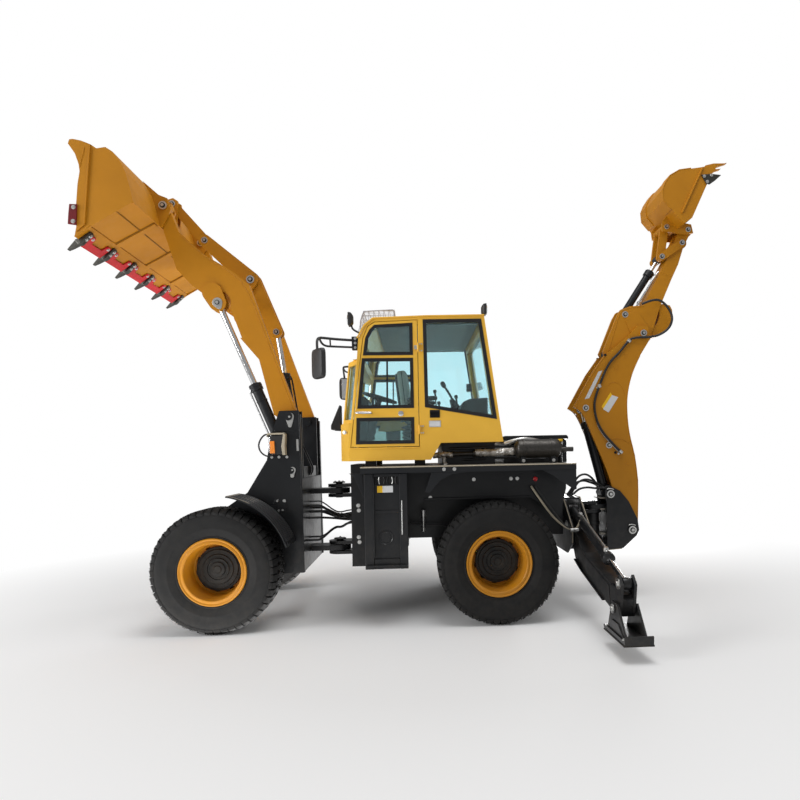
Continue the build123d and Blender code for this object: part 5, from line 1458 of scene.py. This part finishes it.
# bucket: rib up the side and a dark side cutter
both_plates("hoe_rib", [(-2.75, 4.35), (-2.764, 4.345), (-2.541, 3.884), (-2.527, 3.89)], 0.2995,
    0.314, AMBER, "hoe_bucket")
both_plates("hoe_cutter", [(-2.739, 4.271), (-2.842, 4.28), (-2.946, 4.269), (-2.888, 4.218),
    (-2.823, 4.172), (-2.789, 4.179)], 0.3, 0.314, CAST, "hoe_bucket", bevel=0.004)
both_bolts("hoe_cutter_bolts", 0.314, [(-2.768, 4.254), (-2.842, 4.264), (-2.798, 4.2)], 0.011,
    0.008, "hoe_bucket", sides=24, washer=0.016)
for index, y in enumerate((-0.25, -0.125, 0.0, 0.125, 0.25)):
    rings = [[(x, y + a * half, z + b * thick) for a, b in ((-1, -1), (1, -1), (1, 1), (-1, 1))]
             for x, z, half, thick in ((-2.8, 4.366, 0.032, 0.014), (-2.885, 4.383, 0.031, 0.017),
                                       (-2.96, 4.395, 0.023, 0.01), (-3.024, 4.407, 0.017, 0.002))]
    skinned(f"hoe_tooth_{index}", rings, AMBER, "hoe_bucket", 0.002, False)
# guard plate behind the stick's joint, and the steel line beside the bucket cylinder
extruded("joint_guard", [(-2.37, 3.026), (-2.44, 3.024), (-2.49, 3.01), (-2.512, 2.965),
    (-2.515, 2.909), (-2.498, 2.825), (-2.46, 2.751), (-2.39, 2.705), (-2.305, 2.68), (-2.28, 2.77),
    (-2.32, 2.795), (-2.345, 2.822), (-2.365, 2.865), (-2.375, 2.91), (-2.372, 2.97)], -0.08, 0.08,
    AMBER, "stick", bevel=0.004)
hose("stick_line", "stick", at_y(0.075, [(-2.11, 2.96), (-2.126, 2.99), (-2.24, 3.165),
    (-2.354, 3.345), (-2.375, 3.36)]), 0.011, CHROME)
for index, (x, z) in enumerate(((-2.15, 3.028), (-2.33, 3.307))):
    spun(f"line_nut_{index}", "stick", (x, 0.075, z), (-0.53, 0, 0.85),
         [(0, 0.016), (0.002, 0.018), (0.026, 0.018), (0.028, 0.016)], ZINC, steps=6)

for body, eye, half, radius in (("boom_rod", (-1.562, 0, 1.95), 0.05, 0.05),
                                ("stick_rod", (-1.826, 0, 2.521), 0.042, 0.042),
                                ("hoe_rod", (-2.398, 0, 3.508), 0.04, 0.04)):
    spun(body + "_eye", body, (eye[0], -half - 0.0005, eye[2]), (0, 1, 0),
         [(0, radius - 0.002), (0.004, radius + 0.0018), (2 * half - 0.003, radius + 0.0018),
          (2 * half + 0.001, radius - 0.002)], BLACK)
# the post turns on a stout tube between two lugs, with grease rings
spun("swing_tube", "swing_post", (-1.645, 0, 0.588), (0, 0, 1), [(0.0, 0.062), (0.006, 0.078),
    (0.04, 0.078), (0.046, 0.07), (0.15, 0.07), (0.156, 0.076), (0.18, 0.076), (0.186, 0.07),
    (0.27, 0.07), (0.276, 0.078), (0.305, 0.078), (0.311, 0.062)], BLACK)
for index, z in enumerate((0.59, 0.898)):
    spun(f"kingpin_washer_{index}", "chassis", (-1.645, 0, z - 0.004), (0, 0, 1),
         [(0, 0.082), (0.001, 0.084), (0.007, 0.084), (0.008, 0.082)], ZINC)
extruded("boom_valve", [(-1.7, 1.574), (-1.672, 1.56), (-1.705, 1.47), (-1.745, 1.48)], -0.06, 0.06,
    HUB_BLACK, "boom", bevel=0.004)

# hoses: down the boom's side, over the joint, and from the frame to the post
HOSE_LOOP = [(-2.162, 3.007), (-2.281, 3.059), (-2.389, 3.033), (-2.486, 2.89), (-2.456, 2.765),
    (-2.346, 2.687), (-2.236, 2.664), (-2.12, 2.668), (-2.048, 2.652)]
BOOM_RUN = [(-2.048, 2.652), (-1.995, 2.61), (-1.928, 2.522), (-1.799, 2.4), (-1.715, 2.206),
    (-1.648, 2.031), (-1.647, 1.904), (-1.689, 1.757), (-1.781, 1.627), (-1.918, 1.487)]
hose("joint_hose", "stick", at_y(0.158, HOSE_LOOP), 0.012, HOSE,
     to_body="boom")
hose("boom_hose", "boom", at_y(0.15, BOOM_RUN), 0.012, HOSE)
hose("boom_hose_sleeve", "boom", [(x + 0.004, 0.141, z - 0.014) for x, z in BOOM_RUN[3:]], 0.005,
     ZINC)
for index, (x, z, heading) in enumerate(((-2.02, 2.632, (0.75, 0, 0.62)),
                                         (-1.703, 2.172, (0.36, 0, 0.93)),
                                         (-1.912, 1.494, (0.7, 0, 0.7)))):
    spun(f"hose_clamp_{index}", "boom", (x, 0.15, z), heading,
         [(-0.018, 0.013), (-0.018, 0.02), (0.018, 0.02), (0.018, 0.013)], ZINC, steps=24)
    fasteners(f"clamp_bolt_{index}", "boom", [((x + 0.018, 0.136, z - 0.018), (0, 1, 0))],
              ZINC, 0.008, 0.01)
for index, (y, z, rise) in enumerate(((-0.075, 1.075, 0.1), (-0.03, 1.062, 0.17),
                                      (0.03, 1.07, 0.12), (0.075, 1.06, 0.06))):
    hose(f"post_hose_{index}", "chassis", [
        (-1.4, y, 1.049), (-1.425, y, z), (-1.49, y, z + rise), (-1.58, y, z + rise * 1.25),
        (-1.66, y * 1.5, z + rise), (-1.735, y * 2.0, z + 0.075), (-1.79, y * 2.0, 1.105)],
        0.011, HOSE, to_body="swing_post")
for index, (y, material) in enumerate(((0.06, HOSE), (-0.06, CHROME))):
    hose(f"boom_cyl_line_{index}", "boom_barrel",
         at_y(y, [(-1.77, 1.17), (-1.752, 1.26), (-1.722, 1.36), (-1.64, 1.7)]), 0.008, material)
for base, eye, length, tube, rod, body in (
    ((-1.787, 1.065), (-1.562, 1.95), 0.77, 0.05, 0.028, "boom_barrel"),
    ((-1.85, 1.4), (-1.826, 2.521), 0.9, 0.042, 0.024, "stick_barrel"),
    ((-2.005, 2.915), (-2.398, 3.508), 0.56, 0.038, 0.02, "hoe_barrel"),
):
    gland(body.replace("barrel", "gland"), body, (base[0], 0, base[1]), (eye[0], 0, eye[1]),
          length, tube, rod)
# blank plates and a worn pale strip on the boom's edge
extruded("boom_plate_white", [(-1.838, 2.078), (-1.902, 2.055), (-1.798, 1.899), (-1.74, 1.935)],
    0.1352, 0.137, PLATE_WHITE, "boom", bevel=0.0004)
extruded("boom_plate_yellow", [(-1.822, 2.106), (-1.838, 2.079), (-1.742, 1.937), (-1.726, 1.962)],
    0.1352, 0.1372, PLATE_YELLOW, "boom", bevel=0.0004)
extruded("boom_pale_strip", [(-1.743, 2.332), (-1.7, 2.32), (-1.552, 2.04), (-1.6, 2.05)], 0.1352,
    0.1368, PLATE_WHITE, "boom", bevel=0.0004)
extruded("post_foot_strip", [(-1.765, 0.498), (-1.905, 0.508), (-1.905, 0.5), (-1.765, 0.49)],
    -0.165, 0.165, GUARD_CREAM, "swing_post", bevel=0.001)
for index, z in enumerate((1.02, 0.905, 0.65, 0.535)):
    extruded(f"post_lug_edge_{index}", rect(-1.768, z - 0.006, -1.7, z + 0.006), -0.112, 0.112,
        EDGE_STEEL, "swing_post")

# ---------------------------------------------------------------------------
# Stabilisers. Flanged black legs on a cross housing with pale worn edges, each with
# its cylinder, steel line and hose, and a flat pad with folded ends on a pin.
LEG_X = -1.354
# pins of the cylinder on the left leg and on the housing, (y, z)
ROD_PIN, BARREL_PIN = (1.86, 0.515), (0.33, 0.94)
for side, label in SIDES:
    leg, barrel, foot = f"leg_{label}", f"leg_barrel_{label}", f"foot_{label}"

    def across(points, side=side):
        return [(side * y, z) for y, z in points]

    for part, outline in (
        ("upper", [(0.82, 0.68), (1.0, 0.6), (1.74, 0.482), (1.74, 0.494), (1.0, 0.613),
                   (0.82, 0.694)]),
        ("lower", [(0.64, 0.5), (0.86, 0.44), (1.5, 0.32), (1.5, 0.307), (0.86, 0.427),
                   (0.64, 0.487)]),
    ):
        extruded(f"leg_flange_{part}_{label}", across(outline), LEG_X - 0.078, LEG_X + 0.078, BLACK,
            leg, "X", bevel=0.003)
    extruded(f"leg_web_{label}", across([(0.88, 0.462), (1.66, 0.318), (1.64, 0.46), (0.95, 0.58)]),
        LEG_X + 0.06, LEG_X + 0.0635, BLACK, leg, "X", bevel=0.001)
    for name, body, radius, y, z, low, high in (
        ("rod", leg, 0.04, *ROD_PIN, -1.4145, -1.2935),
        ("foot", foot, 0.036, 1.81, 0.32, -1.4445, -1.2635),
        ("hinge", "chassis", 0.04, 0.43, 0.8, -1.4395, -1.2685),
    ):
        fasteners(f"leg_pin_{name}_{label}", body,
                  [((high, side * y, z), (1, 0, 0)), ((low, side * y, z), (-1, 0, 0))],
                  ZINC, radius * 0.45, 0.012, washer=radius, thick=0.006)
    lean = math.atan2(ROD_PIN[1] - BARREL_PIN[1], ROD_PIN[0] - BARREL_PIN[0])
    along = Vector((0, side * math.cos(lean), math.sin(lean)))
    upward = Vector((0, -side * math.sin(lean), math.cos(lean)))
    base = Vector((LEG_X, side * BARREL_PIN[0], BARREL_PIN[1]))
    spun(f"leg_gland_{label}", barrel, base, along, [(1.115, 0.049), (1.12, 0.053), (1.172, 0.053),
        (1.18, 0.046), (1.186, 0.03), (1.19, 0.0235)], BLACK)
    line = [base + along * d + upward * o + Vector((0.01, 0, 0)) for d, o in (
        (0.3, 0.04), (0.32, 0.066), (0.4, 0.07), (0.8, 0.07), (1.05, 0.068), (1.1, 0.066),
        (1.13, 0.048))]
    hose(f"leg_line_{label}", barrel, [tuple(p) for p in line], 0.009, ZINC)
    for index, d in enumerate((0.315, 1.105)):
        spun(f"leg_fitting_{index}_{label}", barrel, base + along * d + Vector((0.01, 0, 0)),
            upward, [(0.04, 0.018), (0.052, 0.021), (0.072, 0.021), (0.08, 0.014)], ZINC, steps=20)
    for index, (x, shift) in enumerate(((-1.3, 0.0), (-1.33, 0.04))):
        hose(f"leg_hose_{index}_{label}", "chassis", [(-0.88 - shift, side * 0.66, 1.19),
            (-0.985 - shift, side * 0.7, 1.02), (-1.08 - shift, side * 0.71, 0.89),
            (-1.2, side * 0.71, 0.79), (x, side * 0.71, 0.775), (x - 0.03, side * 0.7, 0.865)],
            0.01, GUARD_CREAM if index == 0 else HOSE)
        spun(f"leg_hose_end_{index}_{label}", "chassis", (x + 0.07, side * 0.71, 0.776), (-1, 0, 0),
             [(0, 0.013), (0.002, 0.018), (0.045, 0.018), (0.05, 0.013)], ZINC, steps=12)
    # pale worn edges of the cross housing
    for index, x in enumerate((-1.2695, -1.4385)):
        hose(f"housing_edge_{index}_{label}", "chassis",
             [(x, side * y, z) for y, z in ((0.1, 1.0505), (0.298, 1.051), (0.302, 1.05),
                                            (0.46, 0.929), (0.638, 0.791), (0.641, 0.786),
                                            (0.641, 0.645))], 0.0055, GUARD_CREAM)
    spun(f"rod_eye_{label}", f"leg_rod_{label}", (LEG_X - 0.0325, side * ROD_PIN[0], ROD_PIN[1]),
        (1, 0, 0), [(0, 0.043), (0.004, 0.0455), (0.061, 0.0455), (0.065, 0.043)], BLACK)
    # pad: folded lips, a thick sole, a gusset and bolts
    for part, outline in (
        ("outer", [(2.108, 0.128), (2.114, 0.131), (2.118, 0.19), (2.108, 0.196), (2.1, 0.16)]),
        ("inner", [(1.642, 0.128), (1.63, 0.13), (1.618, 0.15), (1.626, 0.157), (1.644, 0.15)]),
    ):
        extruded(f"pad_{part}_lip_{label}", across(outline), LEG_X - 0.105, LEG_X + 0.105, BLACK,
            foot, "X", bevel=0.003)
    extruded(f"pad_sole_{label}", across(rect(1.64, 0.118, 2.11, 0.1305)), LEG_X - 0.112,
        LEG_X + 0.112, HUB_BLACK, foot, "X", bevel=0.004)
    extruded(f"pad_gusset_{label}", across([(1.7, 0.16), (2.03, 0.16), (1.92, 0.235),
        (1.78, 0.235)]), LEG_X + 0.082, LEG_X + 0.092, BLACK, foot, "X")
    fasteners(f"pad_bolts_{label}", foot,
              [((LEG_X + dx, side * y, 0.1602), (0, 0, 1)) for dx in (-0.095, 0.0965)
               for y in (1.68, 2.07)], ZINC, 0.01, 0.008)

# ---------------------------------------------------------------------------
# Studio. A wide pale floor that fades to white away from the machine, a white
# surround, soft lamps above and a camera level with the cab door.


def seen_directly(tree):
    """1 where the camera sees this itself or through glass, 0 in its light and reflections."""
    path = add(tree, "ShaderNodeLightPath")
    return sum_of(tree, "MAXIMUM", path["Is Camera Ray"], path["Is Transmission Ray"])


floor = mesh_object("studio_floor", [(-40, -40, 0), (40, -40, 0), (40, 40, 0), (-40, 40, 0)],
    [(0, 1, 2, 3)], smooth=False)
floor_finish = bpy.data.materials.new("studio_floor")
floor_finish.use_nodes = True
tree = floor_finish.node_tree
pale = tree.nodes["Principled BSDF"]
for key, size in (("Base Color", (0.93, 0.93, 0.93, 1)), ("Roughness", 0.95),
                  ("Specular IOR Level", 0.1)):
    pale.inputs[key].default_value = size
where = add(tree, "ShaderNodeTexCoord")["Object"]
away = add(tree, "ShaderNodeVectorMath", where, operation="LENGTH")["Value"]
share = sum_of(tree, "MULTIPLY", spread(tree, away, 2.6, 6.5), seen_directly(tree))
white = add(tree, "ShaderNodeEmission")[0]
both = add(tree, "ShaderNodeMixShader", share, pale.outputs[0], white)[0]
tree.links.new(both, tree.nodes["Material Output"].inputs["Surface"])
floor.data.materials.append(floor_finish)

world = bpy.data.worlds.new("studio")
bpy.context.scene.world = world
world.use_nodes = True
tree = world.node_tree
surround = tree.nodes["Background"].inputs
surround["Color"].default_value = (1, 1, 1, 1)
level = sum_of(tree, "MULTIPLY", seen_directly(tree), 0.66)
tree.links.new(sum_of(tree, "ADD", level, 0.34), surround["Strength"])
LAMPS = [
    # name, place, what it points at, size, watts
    ("key", (14.0, 6.5, 4.6), (0.0, 0.0, 1.8), 6.0, 1200),
    ("top", (-1.0, 2.0, 9.5), (0.0, 0.0, 1.6), 5.0, 340),
    ("far_side", (-4.0, -6.0, 0.8), (0.8, 0.0, 2.2), 3.0, 450),
    ("under", (3.2, 0.3, 0.03), (3.2, 0.3, 3.0), 4.0, 110),
]
for name, place, target, size, watts in LAMPS:
    lamp = bpy.data.lights.new(name, "AREA")
    lamp.size = size
    lamp.energy = watts
    holder = bpy.data.objects.new(name, lamp)
    holder.location = place
    aim = Vector(target) - Vector(place)
    holder.rotation_euler = aim.to_track_quat("-Z", "Y").to_euler()
    holder.visible_camera = False
    bpy.context.scene.collection.objects.link(holder)

YAW, ROLL = math.radians(3.3), math.radians(1.1)
ahead = Vector((-math.sin(YAW), -math.cos(YAW), 0))
level_right = Vector((-math.cos(YAW), math.sin(YAW), 0))
right = level_right * math.cos(ROLL) - Vector((0, 0, 1)) * math.sin(ROLL)
up = Vector((0, 0, 1)) * math.cos(ROLL) + level_right * math.sin(ROLL)
lens = bpy.data.cameras.new("camera")
lens.lens = 27.675
lens.sensor_width = 36
lens.shift_x = -0.063
lens.shift_y = 0.068
lens.clip_end = 200
camera = bpy.data.objects.new("camera", lens)
camera.matrix_world = Matrix((
    (right.x, up.x, -ahead.x, 0.196),
    (right.y, up.y, -ahead.y, 6.35),
    (right.z, up.z, -ahead.z, 1.5),
    (0, 0, 0, 1),
))
bpy.context.scene.collection.objects.link(camera)
bpy.context.scene.camera = camera
bpy.context.scene.view_settings.view_transform = "Standard"
